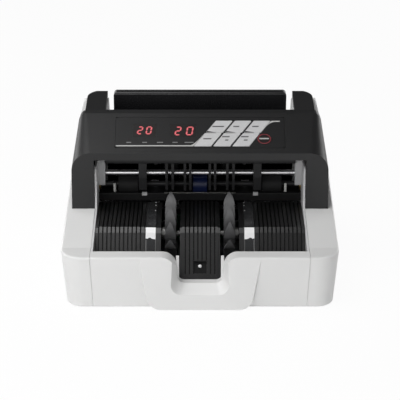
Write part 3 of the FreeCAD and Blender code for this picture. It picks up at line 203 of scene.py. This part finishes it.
def add_slabs(name, outlines, depth, finish, body):
    """One piece made of slabs, each a flat outline carried back by depth, with its faces turned outward."""
    points = []
    faces = []
    for outline in outlines:
        turn = sum((a.cross(b) for a, b in zip(outline, outline[1:] + outline[:1])), Vector())
        if turn.dot(depth) > 0:
            outline = outline[::-1]
        count = len(outline)
        start = len(points)
        points += outline
        points += [p + depth for p in outline]
        faces.append(list(range(start, start + count)))
        faces.append(list(range(start + 2 * count - 1, start + count - 1, -1)))
        for i in range(count):
            j = (i + 1) % count
            faces.append([start + i, start + count + i, start + count + j, start + j])
    add_piece(name, points, faces, finish, body)


def bezier(start, control, end, steps):
    """Points of a curve that leaves start towards control and arrives at end from it."""
    points = []
    for i in range(steps + 1):
        t = i / steps
        points.append(tuple(a * (1 - t) ** 2 + 2 * b * t * (1 - t) + c * t ** 2
                            for a, b, c in zip(start, control, end)))
    return points


# Control panel's plane, from the overlay's upper face
FACING_UP = 0.5
FACE_SLACK = 0.1
MARK_LIFT = 0.06
MARK_THICK = 0.05
overlay = nodes["panel_overlay"].data
upward = Vector((0, 0, 0))
for face in overlay.polygons:
    if face.normal.z > FACING_UP:
        upward += face.normal * face.area
PANEL_OUT = upward.normalized()
PANEL_UP = PANEL_OUT.cross(ACROSS)
PANEL_LEVEL = max(v.co.dot(PANEL_OUT) for v in overlay.vertices)
face_points = [v.co for v in overlay.vertices if v.co.dot(PANEL_OUT) > PANEL_LEVEL - FACE_SLACK * MM]
PANEL_START = min(p.dot(PANEL_UP) for p in face_points)


def on_panel(x, along, lift):
    """Point on the panel: x across, along up from the overlay's front edge and lift above it, in mm."""
    return ACROSS * (x * MM) + PANEL_UP * (PANEL_START + along * MM) + PANEL_OUT * (PANEL_LEVEL + lift * MM)


def panel_marks(name, outlines, finish, body="housing", lift=MARK_LIFT, thick=MARK_THICK):
    placed = [[on_panel(x, along, lift) for x, along in outline] for outline in outlines]
    add_slabs(name, placed, PANEL_OUT * (-thick * MM), finish, body)


def bar(x, along, width, height, lean=0.0):
    """Outline of a plain bar about a middle point, its top pushed right by lean."""
    half = height / 2
    return [(x - width / 2 - lean * half, along - half), (x + width / 2 - lean * half, along - half),
            (x + width / 2 + lean * half, along + half), (x - width / 2 + lean * half, along + half)]


def round_mark(x, along, radius, steps=14):
    turns = [2 * math.pi * i / steps for i in range(steps)]
    return [(x + radius * math.cos(turn), along + radius * math.sin(turn)) for turn in turns]


def ring_marks(x, along, inner, outer, steps=40):
    """Outlines of the short pieces that make up a flat ring."""
    marks = []
    for i in range(steps):
        a = 2 * math.pi * i / steps
        b = 2 * math.pi * (i + 1) / steps
        marks.append([(x + r * math.cos(t), along + r * math.sin(t))
                      for r, t in ((inner, a), (outer, a), (outer, b), (inner, b))])
    return marks


# Lit digits: each has a value, a left edge, a foot, a width and a height
DIGITS = (("2", -67.0, 20.9, 4.3, 10.2), ("0", -57.8, 20.9, 4.7, 10.2),
          ("2", -26.6, 19.4, 4.9, 11.4), ("0", -14.6, 19.4, 5.8, 11.4))
SEGMENTS = {"0": "abcdef", "2": "abged"}
SEGMENT_GAP = 0.22
DIGIT_SLANT = 0.12
DIGIT_STROKE = 1.45
GLOW_STROKE = 2.5


def segment(x0, along0, x1, along1, half):
    """Outline of one lit bar, lying or standing, with pointed ends."""
    if along0 == along1:
        return [(x0, along0), (x0 + half, along0 - half), (x1 - half, along0 - half),
                (x1, along0), (x1 - half, along0 + half), (x0 + half, along0 + half)]
    return [(x0, along0), (x0 + half, along0 + half), (x0 + half, along1 - half),
            (x0, along1), (x0 - half, along1 - half), (x0 - half, along0 + half)]


def digit_outlines(value, x, along, width, height, stroke):
    """Outlines of the lit bars of one slanted digit."""
    gap = SEGMENT_GAP
    mid = height / 2
    ends = {"a": (gap, height, width - gap, height), "d": (gap, 0, width - gap, 0),
            "g": (gap, mid, width - gap, mid), "f": (0, mid + gap, 0, height - gap),
            "b": (width, mid + gap, width, height - gap), "e": (0, gap, 0, mid - gap),
            "c": (width, gap, width, mid - gap)}
    outlines = []
    for letter in SEGMENTS[value]:
        shape = segment(*ends[letter], stroke / 2)
        outlines.append([(x + px + py * DIGIT_SLANT, along + py) for px, py in shape])
    return outlines


def display_digits():
    strokes = []
    glow = []
    for digit in DIGITS:
        strokes += digit_outlines(*digit, DIGIT_STROKE)
        glow += digit_outlines(*digit, GLOW_STROKE)
    panel_marks("digit_glow", glow, "digit_glow")
    panel_marks("display_digits", strokes, "digit", lift=2 * MARK_LIFT)


# Printed lines that run into the keys
KEY_LEAN = 0.62
KEY_LOW = 2.4
KEY_TOP = 40.4
KEY_LEFT_X = -7.0
KEY_RIGHT_X = 65.6
KEY_UPPER_LOW = 22.6
LINE_THICK = 1.6
LINE_STEPS = 8
LEFT_LINE_X = -89.6
LEFT_JOIN = 19.0
LEFT_TIP = (4.4, 20.8)
LEFT_BEND_X = -6.6
LEFT_CURVE_X = -10.5
RIGHT_LINE_X = 86.0
RIGHT_JOIN = 8.0
RIGHT_TIP = 0.1
RIGHT_BEND = 0.5
RIGHT_CURVE_X = 82.0


def panel_lines():
    line_top = KEY_LOW + LINE_THICK
    left = [(LEFT_LINE_X, KEY_LOW), (KEY_LEFT_X, KEY_LOW),
            (KEY_LEFT_X + KEY_LEAN * LEFT_JOIN, KEY_LOW + LEFT_JOIN)]
    left += bezier(LEFT_TIP, (LEFT_BEND_X, line_top), (LEFT_CURVE_X, line_top), LINE_STEPS)
    left.append((LEFT_LINE_X, line_top))
    line_low = KEY_TOP - LINE_THICK
    edge_x = KEY_RIGHT_X + KEY_LEAN * (KEY_TOP - KEY_UPPER_LOW)
    join_x = edge_x - KEY_LEAN * RIGHT_JOIN
    join_low = KEY_TOP - RIGHT_JOIN
    right = [(edge_x, KEY_TOP), (join_x, join_low)]
    right += bezier((join_x + RIGHT_TIP, join_low), (edge_x - RIGHT_BEND, line_low),
                    (RIGHT_CURVE_X, line_low), LINE_STEPS)
    right += [(RIGHT_LINE_X, line_low), (RIGHT_LINE_X, KEY_TOP)]
    panel_marks("panel_lines", [left, right], "print_white")


# Unlit indicator lamps, with plain bars in place of labels: each has a middle and its bar's width
INDICATORS = ((-75.9, 5.0), (-59.0, 5.0), (-42.6, 6.4), (-26.6, 5.4), (-11.6, 9.6))
INDICATOR_BAR_L = 8.2
INDICATOR_BAR_H = 1.3
INDICATOR_LAMP_L = 13.2
INDICATOR_LAMP_R = 1.3


def indicators():
    bars = []
    lamps = []
    for x, width in INDICATORS:
        bars.append(bar(x, INDICATOR_BAR_L, width, INDICATOR_BAR_H))
        lamps.append(round_mark(x, INDICATOR_LAMP_L, INDICATOR_LAMP_R))
    panel_marks("indicator_bars", bars, "print_grey")
    panel_marks("indicator_lamps", lamps, "key_ring")


# Plain bars on the keys, each with a middle and a width
KEY_MARKS = {"upper_left": ((19.5, 31.5, 12.4),), "upper_middle": ((39.0, 31.5, 6.4),),
             "upper_right": ((59.5, 31.5, 7.0),), "lower_left": ((7.8, 13.2, 8.6),),
             "lower_middle": ((27.6, 16.2, 8.0), (28.5, 11.2, 3.4)),
             "lower_right": ((47.9, 16.2, 8.0), (48.8, 11.2, 4.0))}
KEY_BAR_H = 1.7
KEY_BAR_LEAN = KEY_LEAN / 2


def key_level(node):
    """How far a key's face stands above the overlay, in mm."""
    top = max(v.co.dot(PANEL_OUT) for v in nodes[node].data.vertices)
    return (top - PANEL_LEVEL) / MM


def key_marks():
    for key, marks in KEY_MARKS.items():
        outlines = [bar(x, along, width, KEY_BAR_H, KEY_BAR_LEAN) for x, along, width in marks]
        panel_marks("key_marks_" + key, outlines, "print_dark", "button_" + key,
                    key_level("key_" + key) + MARK_LIFT)


# Dark wedge and silver film between the upper and the lower key of each column
COLUMNS = ("left", "middle", "right")
SLIT_LENGTH = 10.5
SLIT_H = 2.1
SLIT_INSET = 0.2
SLIT_TIP = 0.9
BRIDGE_SHARE = 0.44
BRIDGE_LOW = 0.75
BRIDGE_HIGH = 0.05
BRIDGE_TAPER = 2.2
BRIDGE_END_LOW = 0.7
BRIDGE_END_HIGH = 0.3


def key_slits():
    """Dark wedge that parts each upper key from the lower one on the left."""
    low = KEY_UPPER_LOW + SLIT_INSET
    for column in COLUMNS:
        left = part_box("key_upper_" + column)[0].x / MM
        wedge = [(left + SLIT_INSET, low), (left + SLIT_LENGTH, low),
                 (left + SLIT_TIP, KEY_UPPER_LOW + SLIT_H)]
        panel_marks("key_slit_" + column, [wedge], "overlay", "button_upper_" + column,
                    key_level("key_upper_" + column) + MARK_LIFT)


def key_bridges():
    """Silver film that joins each upper key to the lower one on the right."""
    level = key_level("key_upper_left") - MARK_LIFT
    low = KEY_UPPER_LOW - BRIDGE_LOW
    high = KEY_UPPER_LOW - BRIDGE_HIGH
    outlines = []
    for column in COLUMNS:
        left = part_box("key_upper_" + column)[0].x / MM
        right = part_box("key_lower_" + column)[1].x / MM
        start = right - (right - left) * BRIDGE_SHARE
        outlines.append([(start + BRIDGE_TAPER, low), (right - BRIDGE_END_LOW, low),
                         (right - BRIDGE_END_HIGH, high), (start, high)])
    panel_marks("key_bridges", outlines, "key_silver", lift=level, thick=level)


# Round key's ring, halo and plain bar, the first two measured in from its rim. The halo is painted light: it
# glows faintly red though the key is no lamp
RESET_RING = (1.2, 0.4)
RESET_HALO = (2.2, 1.25)
RESET_BAR_SHIFT = (-0.2, 0.4)
RESET_BAR_W = 10.4
RESET_BAR_H = 1.7


def reset_marks():
    low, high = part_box("key_reset")
    middle = (low + high) / 2
    x = middle.x / MM
    along = (middle.dot(PANEL_UP) - PANEL_START) / MM
    radius = (high.x - low.x) / 2 / MM
    level = key_level("key_reset") + MARK_LIFT
    ring = ring_marks(x, along, radius - RESET_RING[0], radius - RESET_RING[1])
    halo = ring_marks(x, along, radius - RESET_HALO[0], radius - RESET_HALO[1])
    label = bar(x + RESET_BAR_SHIFT[0], along + RESET_BAR_SHIFT[1], RESET_BAR_W, RESET_BAR_H)
    panel_marks("reset_ring", ring, "print_red", "button_reset", level)
    panel_marks("reset_halo", halo, "painted_glow_red", "button_reset", level)
    panel_marks("reset_bar", [label], "print_white", "button_reset", level)


# Stacker plate's faces, from the corners of the windows let into it
TOP_SIDE = Vector((0, -0.33, 0.94))
RIDGE_SIDE = Vector((0, -0.72, 0.69))
FOOT_SIDE = Vector((0, -1, 0))
WITHOUT_X = Vector((0, 1, 1))
plate_top = corner("sensor_windows", TOP_SIDE) * WITHOUT_X
plate_ridge = corner("sensor_windows", RIDGE_SIDE) * WITHOUT_X
plate_foot = corner("sensor_windows", FOOT_SIDE) * WITHOUT_X
TOP_OUT = Vector((0, 0, 1))
RIDGE_OUT = ACROSS.cross((plate_top - plate_ridge).normalized())
SLOPE_OUT = ACROSS.cross((plate_ridge - plate_foot).normalized())
SLOPE_DOWN = (plate_foot - plate_ridge).normalized()
SLOPE_LENGTH = (plate_ridge - plate_foot).length / MM


def on_top(x, back, lift):
    """Point on the plate's flat top, back from its front edge, in mm."""
    return plate_top + ACROSS * (x * MM) + Vector((0, back * MM, 0)) + TOP_OUT * (lift * MM)


def on_ridge(x, share, lift):
    """Point on the plate's bevelled ridge, share of the way up it."""
    return plate_ridge.lerp(plate_top, share) + ACROSS * (x * MM) + RIDGE_OUT * (lift * MM)


def on_slope(x, drop, lift):
    """Point on the plate's slope, drop down from the ridge, in mm."""
    return plate_ridge + ACROSS * (x * MM) + SLOPE_DOWN * (drop * MM) + SLOPE_OUT * (lift * MM)


def strip(place, x0, x1, start, end, lift):
    """Outline of a strip between x0 and x1 that runs from start to end on one of the plate's faces."""
    return [place(x0, start, lift), place(x1, start, lift), place(x1, end, lift), place(x0, end, lift)]


# Stacker windows: a white patch over the ridge, which is painted highlight where the clear window reflects
# light, light rims down the slope, studs on the flat top
PATCH_LIFT = 0.06
PATCH_THICK = 0.05 * MM
PATCH_DROP = (6.0, 7.0)
BITE_X = 52.7
BITE_R = 1.9
BITE_DROP = 0.3
BITE_SQUASH = 0.6
BITE_STEPS = 8
RIM_START = 7.4
RIM_CLEAR = 1.0
OUTER_RIM = 0.7
INNER_RIM = 0.35
STUDS = ((47.5, 0.6), (62.5, 0.6), (71.0, 0.8))
STUD_INSET = 1.3
STUD_LIFT = 0.3
STUD_T = 0.35
STUD_STEPS = 10


def window_marks(side, name):
    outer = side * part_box("sensor_windows")[1].x / MM
    inner = side * min(abs(v.co.x) for v in nodes["sensor_windows"].data.vertices) / MM
    # The white strip over the ridge and the patch at the top of the slope are painted reflection of light on
    # the clear window
    edge = strip(on_ridge, inner, outer, 0, 1, PATCH_LIFT)
    add_slabs("window_highlight_edge_" + name, [edge], RIDGE_OUT * -PATCH_THICK, "white_and_painted_highlight", "housing")
    patch = [on_slope(inner, 0, PATCH_LIFT), on_slope(inner, PATCH_DROP[1], PATCH_LIFT)]
    for i in range(BITE_STEPS + 1):
        turn = math.pi * i / BITE_STEPS
        x = side * (BITE_X - BITE_R * math.cos(turn))
        drop = PATCH_DROP[0] + BITE_DROP - BITE_R * BITE_SQUASH * math.sin(turn)
        patch.append(on_slope(x, drop, PATCH_LIFT))
    patch += [on_slope(outer, PATCH_DROP[0], PATCH_LIFT), on_slope(outer, 0, PATCH_LIFT)]
    add_slabs("window_highlight_patch_" + name, [patch], SLOPE_OUT * -PATCH_THICK, "white_and_painted_highlight", "housing")
    end = SLOPE_LENGTH - RIM_CLEAR
    rims = [strip(on_slope, outer - side * OUTER_RIM, outer, RIM_START, end, PATCH_LIFT),
            strip(on_slope, inner, inner + side * INNER_RIM, RIM_START, end, PATCH_LIFT)]
    add_slabs("window_rim_" + name, rims, SLOPE_OUT * -PATCH_THICK, "print_grey", "housing")
    studs = []
    for back, radius in STUDS:
        outline = round_mark(inner + side * STUD_INSET, back, radius, STUD_STEPS)
        studs.append([on_top(x, y, STUD_LIFT) for x, y in outline])
    add_slabs("window_studs_" + name, studs, TOP_OUT * (-STUD_T * MM), "white_and_painted_highlight", "housing")


# Painted shade: dark strips in the grooves between the plate's ribs, darkening them as shade would
RIB_PITCH = 4.4
SIDE_GROOVES = 11
SIDE_GROOVE_X = 62.4
TONGUE_GROOVES = 8
GROOVE_W = 1.3
GROOVE_LIFT = -0.3
GROOVE_FRONT = 0.3
GROOVE_BACK = 72.0
GROOVE_CLEAR = 6.0
SENSOR_CLEAR = 20.5
SENSOR_HALF = 8.0


def plate_groove_shade():
    middles = [(i - (TONGUE_GROOVES - 1) / 2) * RIB_PITCH for i in range(TONGUE_GROOVES)]
    for i in range(SIDE_GROOVES):
        middles += [SIDE_GROOVE_X + i * RIB_PITCH, -SIDE_GROOVE_X - i * RIB_PITCH]
    top = []
    ridge = []
    slope = []
    for x in middles:
        left = x - GROOVE_W / 2
        right = x + GROOVE_W / 2
        end = SLOPE_LENGTH - (SENSOR_CLEAR if abs(x) < SENSOR_HALF else GROOVE_CLEAR)
        top.append(strip(on_top, left, right, GROOVE_FRONT, GROOVE_BACK, GROOVE_LIFT))
        ridge.append(strip(on_ridge, left, right, 0, 1, GROOVE_LIFT))
        slope.append(strip(on_slope, left, right, 0, end, GROOVE_LIFT))
    # Black on the top and ridge, grey on the slope: all painted shade in the grooves
    for name, strips, out, finish in (("top", top, TOP_OUT, "painted_shade_and_filter_black"),
                                      ("ridge", ridge, RIDGE_OUT, "painted_shade_and_filter_black"),
                                      ("slope", slope, SLOPE_OUT, "painted_shade_grey")):
        add_slabs("plate_groove_shade_" + name, strips, out * -PATCH_THICK, finish, "housing")


# White lens cap over the stack sensor's dome: painted highlight, white where the glossy dome shows its
# highlight
LENS_R = 2.25
LENS_RISE = 0.05
LENS_RINGS = 5
LENS_STEPS = 16
LENS_TILT = 11.0


def sensor_highlight_cap():
    apex = corner("stack_sensor", SLOPE_OUT)
    centre = apex + SLOPE_OUT * (LENS_RISE - LENS_R) * MM
    side = SLOPE_OUT.cross(ACROSS)
    points = [centre + SLOPE_OUT * LENS_R * MM]
    faces = []
    for ring in range(1, LENS_RINGS + 1):
        tilt = math.radians(LENS_TILT * ring)
        for i in range(LENS_STEPS):
            turn = 2 * math.pi * i / LENS_STEPS
            out = ACROSS * math.cos(turn) + side * math.sin(turn)
            points.append(centre + (SLOPE_OUT * math.cos(tilt) + out * math.sin(tilt)) * LENS_R * MM)
    for i in range(LENS_STEPS):
        j = (i + 1) % LENS_STEPS
        faces.append([0, 1 + i, 1 + j])
        for ring in range(LENS_RINGS - 1):
            near = 1 + ring * LENS_STEPS
            far = near + LENS_STEPS
            faces.append([near + i, far + i, far + j, near + j])
    faces.append(list(range(len(points) - 1, len(points) - 1 - LENS_STEPS, -1)))
    add_piece("sensor_highlight_cap", points, faces, "white_and_painted_highlight", "housing")


# Metal strip, grey clips and metal tabs on the lower guide, measured from its top front edge. The metal
# strip is painted highlight: it stands in for the light caught along the middle of the guide's rounded front
# edge
STRIP_HALF = 39.0
STRIP_SECTION = ((0.30, -0.60), (0.05, -0.45), (0.55, 0.10), (1.6, 0.25), (1.6, 0.02), (0.75, -0.16))
CLIP_STARTS = (-63.4, 58.0)
CLIP_W = 5.4
CLIP_SECTION = ((0, -3.1), (0, -0.9), (0.5, 0.05), (2.4, 0.05),
                (2.4, 0.3), (0.5, 0.3), (-0.5, -0.8), (-0.5, -3.1))
TAB_BACK = 23.0
TAB_T = 0.5
TAB_OUTLINE = ((48.0, 0), (51.5, 0), (51.5, 4.6), (54.2, 4.6), (54.2, 5.7),
               (53.8, 6.1), (45.7, 6.1), (45.3, 5.7), (45.3, 4.6), (48.0, 4.6))


def guide_parts():
    low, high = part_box("lower_guide")

    def on_guide(x, back, up):
        return Vector((x * MM, low.y + back * MM, high.z + up * MM))

    section = [on_guide(-STRIP_HALF, back, up) for back, up in STRIP_SECTION]
    clips = [[on_guide(x, back, up) for back, up in CLIP_SECTION] for x in CLIP_STARTS]
    tabs = [[on_guide(side * x, TAB_BACK, up) for x, up in TAB_OUTLINE] for side in (-1, 1)]
    # The zinc strip is painted highlight along the guide's front edge
    add_slabs("guide_highlight_strip", [section], ACROSS * (2 * STRIP_HALF * MM), "zinc", "housing")
    add_slabs("guide_clips", clips, ACROSS * (CLIP_W * MM), "block_grey", "housing")
    add_slabs("guide_tabs", tabs, Vector((0, TAB_T * MM, 0)), "steel", "housing")


# Pleated dark sheets inside the rear wall: each has its left, right, lower and upper edge. The vent filter
# is a real part; the rear, inlet and sill sheets are painted shade, dark sheets over the white wall where it
# lies in shade
LININGS = (("vent_filter", -24.0, 106.0, 2.6, 60.0), ("rear_shade_sheet", -106.0, 106.0, 60.3, 108.0),
           ("inlet_shade_sheet", -106.0, -24.5, 49.0, 60.0), ("inlet_shade_sill", -106.0, -24.5, 2.6, 19.0))
REAR_WALL = 2.75
PLEAT_W = 2.8
PLEAT_NEAR = 0.2
PLEAT_FAR = 1.6
LINING_T = 0.7


def pleated_sheet(name, x0, x1, z0, z1):
    back = corner("rear_housing", Vector((0, 1, 0))).y - REAR_WALL * MM
    folds = 2 * round((x1 - x0) / PLEAT_W / 2)
    section = []
    for i in range(folds + 1):
        depth = PLEAT_FAR if i % 2 else PLEAT_NEAR
        section.append(((x0 + (x1 - x0) * i / folds) * MM, back - depth * MM))
    section += [(x, y - LINING_T * MM) for x, y in reversed(section)]
    outline = [Vector((x, y, z0 * MM)) for x, y in section]
    add_slabs(name, [outline], Vector((0, 0, (z1 - z0) * MM)), "painted_shade_and_filter_black", "housing")


display_digits()
panel_lines()
indicators()
key_marks()
key_slits()
key_bridges()
reset_marks()
window_marks(-1, "left")
window_marks(1, "right")
plate_groove_shade()
sensor_highlight_cap()
guide_parts()
for lining in LININGS:
    pleated_sheet(*lining)


# Floor
FLOOR_SIDE = 12.0
FLOOR_COLOUR = (0.9, 0.9, 0.9, 1)
FLOOR_ROUGHNESS = 0.8
FLOOR_WHITE = 0.95


def stage_floor():
    """Pale floor that camera, mirror and glass rays see as nearly white, shadow kept."""
    material, tree, links = new_material("floor")
    shader = tree["Principled BSDF"]
    shader.inputs["Base Color"].default_value = FLOOR_COLOUR
    shader.inputs["Roughness"].default_value = FLOOR_ROUGHNESS
    white = tree.new("ShaderNodeEmission")
    white.inputs["Color"].default_value = (1, 1, 1, 1)
    mix = tree.new("ShaderNodeMixShader")
    path = tree.new("ShaderNodeLightPath")
    seen = tree.new("ShaderNodeMath")
    seen.operation = "MAXIMUM"
    links.new(path.outputs["Is Camera Ray"], seen.inputs[0])
    links.new(path.outputs["Is Transmission Ray"], seen.inputs[1])
    either = tree.new("ShaderNodeMath")
    either.operation = "MAXIMUM"
    links.new(seen.outputs[0], either.inputs[0])
    links.new(path.outputs["Is Glossy Ray"], either.inputs[1])
    share = tree.new("ShaderNodeMath")
    share.operation = "MULTIPLY"
    share.inputs[1].default_value = FLOOR_WHITE
    links.new(either.outputs[0], share.inputs[0])
    links.new(share.outputs[0], mix.inputs["Fac"])
    links.new(shader.outputs["BSDF"], mix.inputs[1])
    links.new(white.outputs["Emission"], mix.inputs[2])
    links.new(mix.outputs["Shader"], tree["Material Output"].inputs["Surface"])
    bpy.ops.mesh.primitive_plane_add(size=FLOOR_SIDE)
    floor = bpy.context.object
    floor.name = "floor"
    floor.data.materials.append(material)


# Studio walls: height in the sky and brightness there
SKY_LEVELS = ((0.07, 1.0), (0.2, 0.12), (0.45, 0.05), (1.0, 0.08))
NEW_LEVEL = 0.5


def set_world():
    """White at the horizon, dimmer towards the ceiling."""
    world = bpy.data.worlds.new("studio")
    bpy.context.scene.world = world
    world.use_nodes = True
    tree = world.node_tree.nodes
    links = world.node_tree.links
    place = tree.new("ShaderNodeTexCoord")
    split = tree.new("ShaderNodeSeparateXYZ")
    ramp = tree.new("ShaderNodeValToRGB")
    elements = ramp.color_ramp.elements
    while len(elements) < len(SKY_LEVELS):
        elements.new(NEW_LEVEL)
    for element, (height, level) in zip(elements, SKY_LEVELS):
        element.position = height
        element.color = (level, level, level, 1)
    links.new(place.outputs["Generated"], split.inputs["Vector"])
    links.new(split.outputs["Z"], ramp.inputs["Fac"])
    links.new(ramp.outputs["Color"], tree["Background"].inputs["Color"])


# Lamps: each has a place, an aim, a size and a power
LAMPS = (("overhead", (-0.45, -0.28, 1.00), (-0.38, -0.24, 0.0), (1.0, 0.90), 9.0),
         ("front", (-0.60, -1.30, 0.50), (0, 0, 0.08), (1.6, 0.5), 7.2),
         ("fill", (1.0, -0.8, 0.45), (0, 0, 0.08), (0.6, 0.6), 1.4),
         ("rear_left", (-1.2, 1.0, 0.55), (0, 0, 0.08), (0.6, 0.6), 5.0),
         ("rear_right", (1.1, 1.2, 0.55), (0, 0, 0.08), (0.6, 0.6), 5.5))


def area_light(name, place, aim, size, power):
    light = bpy.data.lights.new(name, "AREA")
    light.shape = "RECTANGLE"
    light.size, light.size_y = size
    light.energy = power
    lamp = bpy.data.objects.new(name, light)
    lamp.location = place
    lamp.rotation_euler = (Vector(aim) - Vector(place)).to_track_quat("-Z", "Y").to_euler()
    bpy.context.scene.collection.objects.link(lamp)


# Camera
CAMERA_PLACE = Vector((0.0, -1.5884, 0.6994))
CAMERA_AIM = Vector((0.0, -0.016, 0.080))
FOCAL_PIXELS = 1578.0
IMAGE_SIDE = 400
SENSOR_WIDTH = 36.0


def set_camera():
    data = bpy.data.cameras.new("camera")
    data.sensor_width = SENSOR_WIDTH
    data.lens = FOCAL_PIXELS * SENSOR_WIDTH / IMAGE_SIDE
    camera = bpy.data.objects.new("camera", data)
    camera.location = CAMERA_PLACE
    camera.rotation_euler = (CAMERA_AIM - CAMERA_PLACE).to_track_quat("-Z", "Y").to_euler()
    bpy.context.scene.collection.objects.link(camera)
    bpy.context.scene.camera = camera


stage_floor()
set_world()
for lamp in LAMPS:
    area_light(*lamp)
set_camera()
bpy.context.scene.view_settings.view_transform = "Standard"
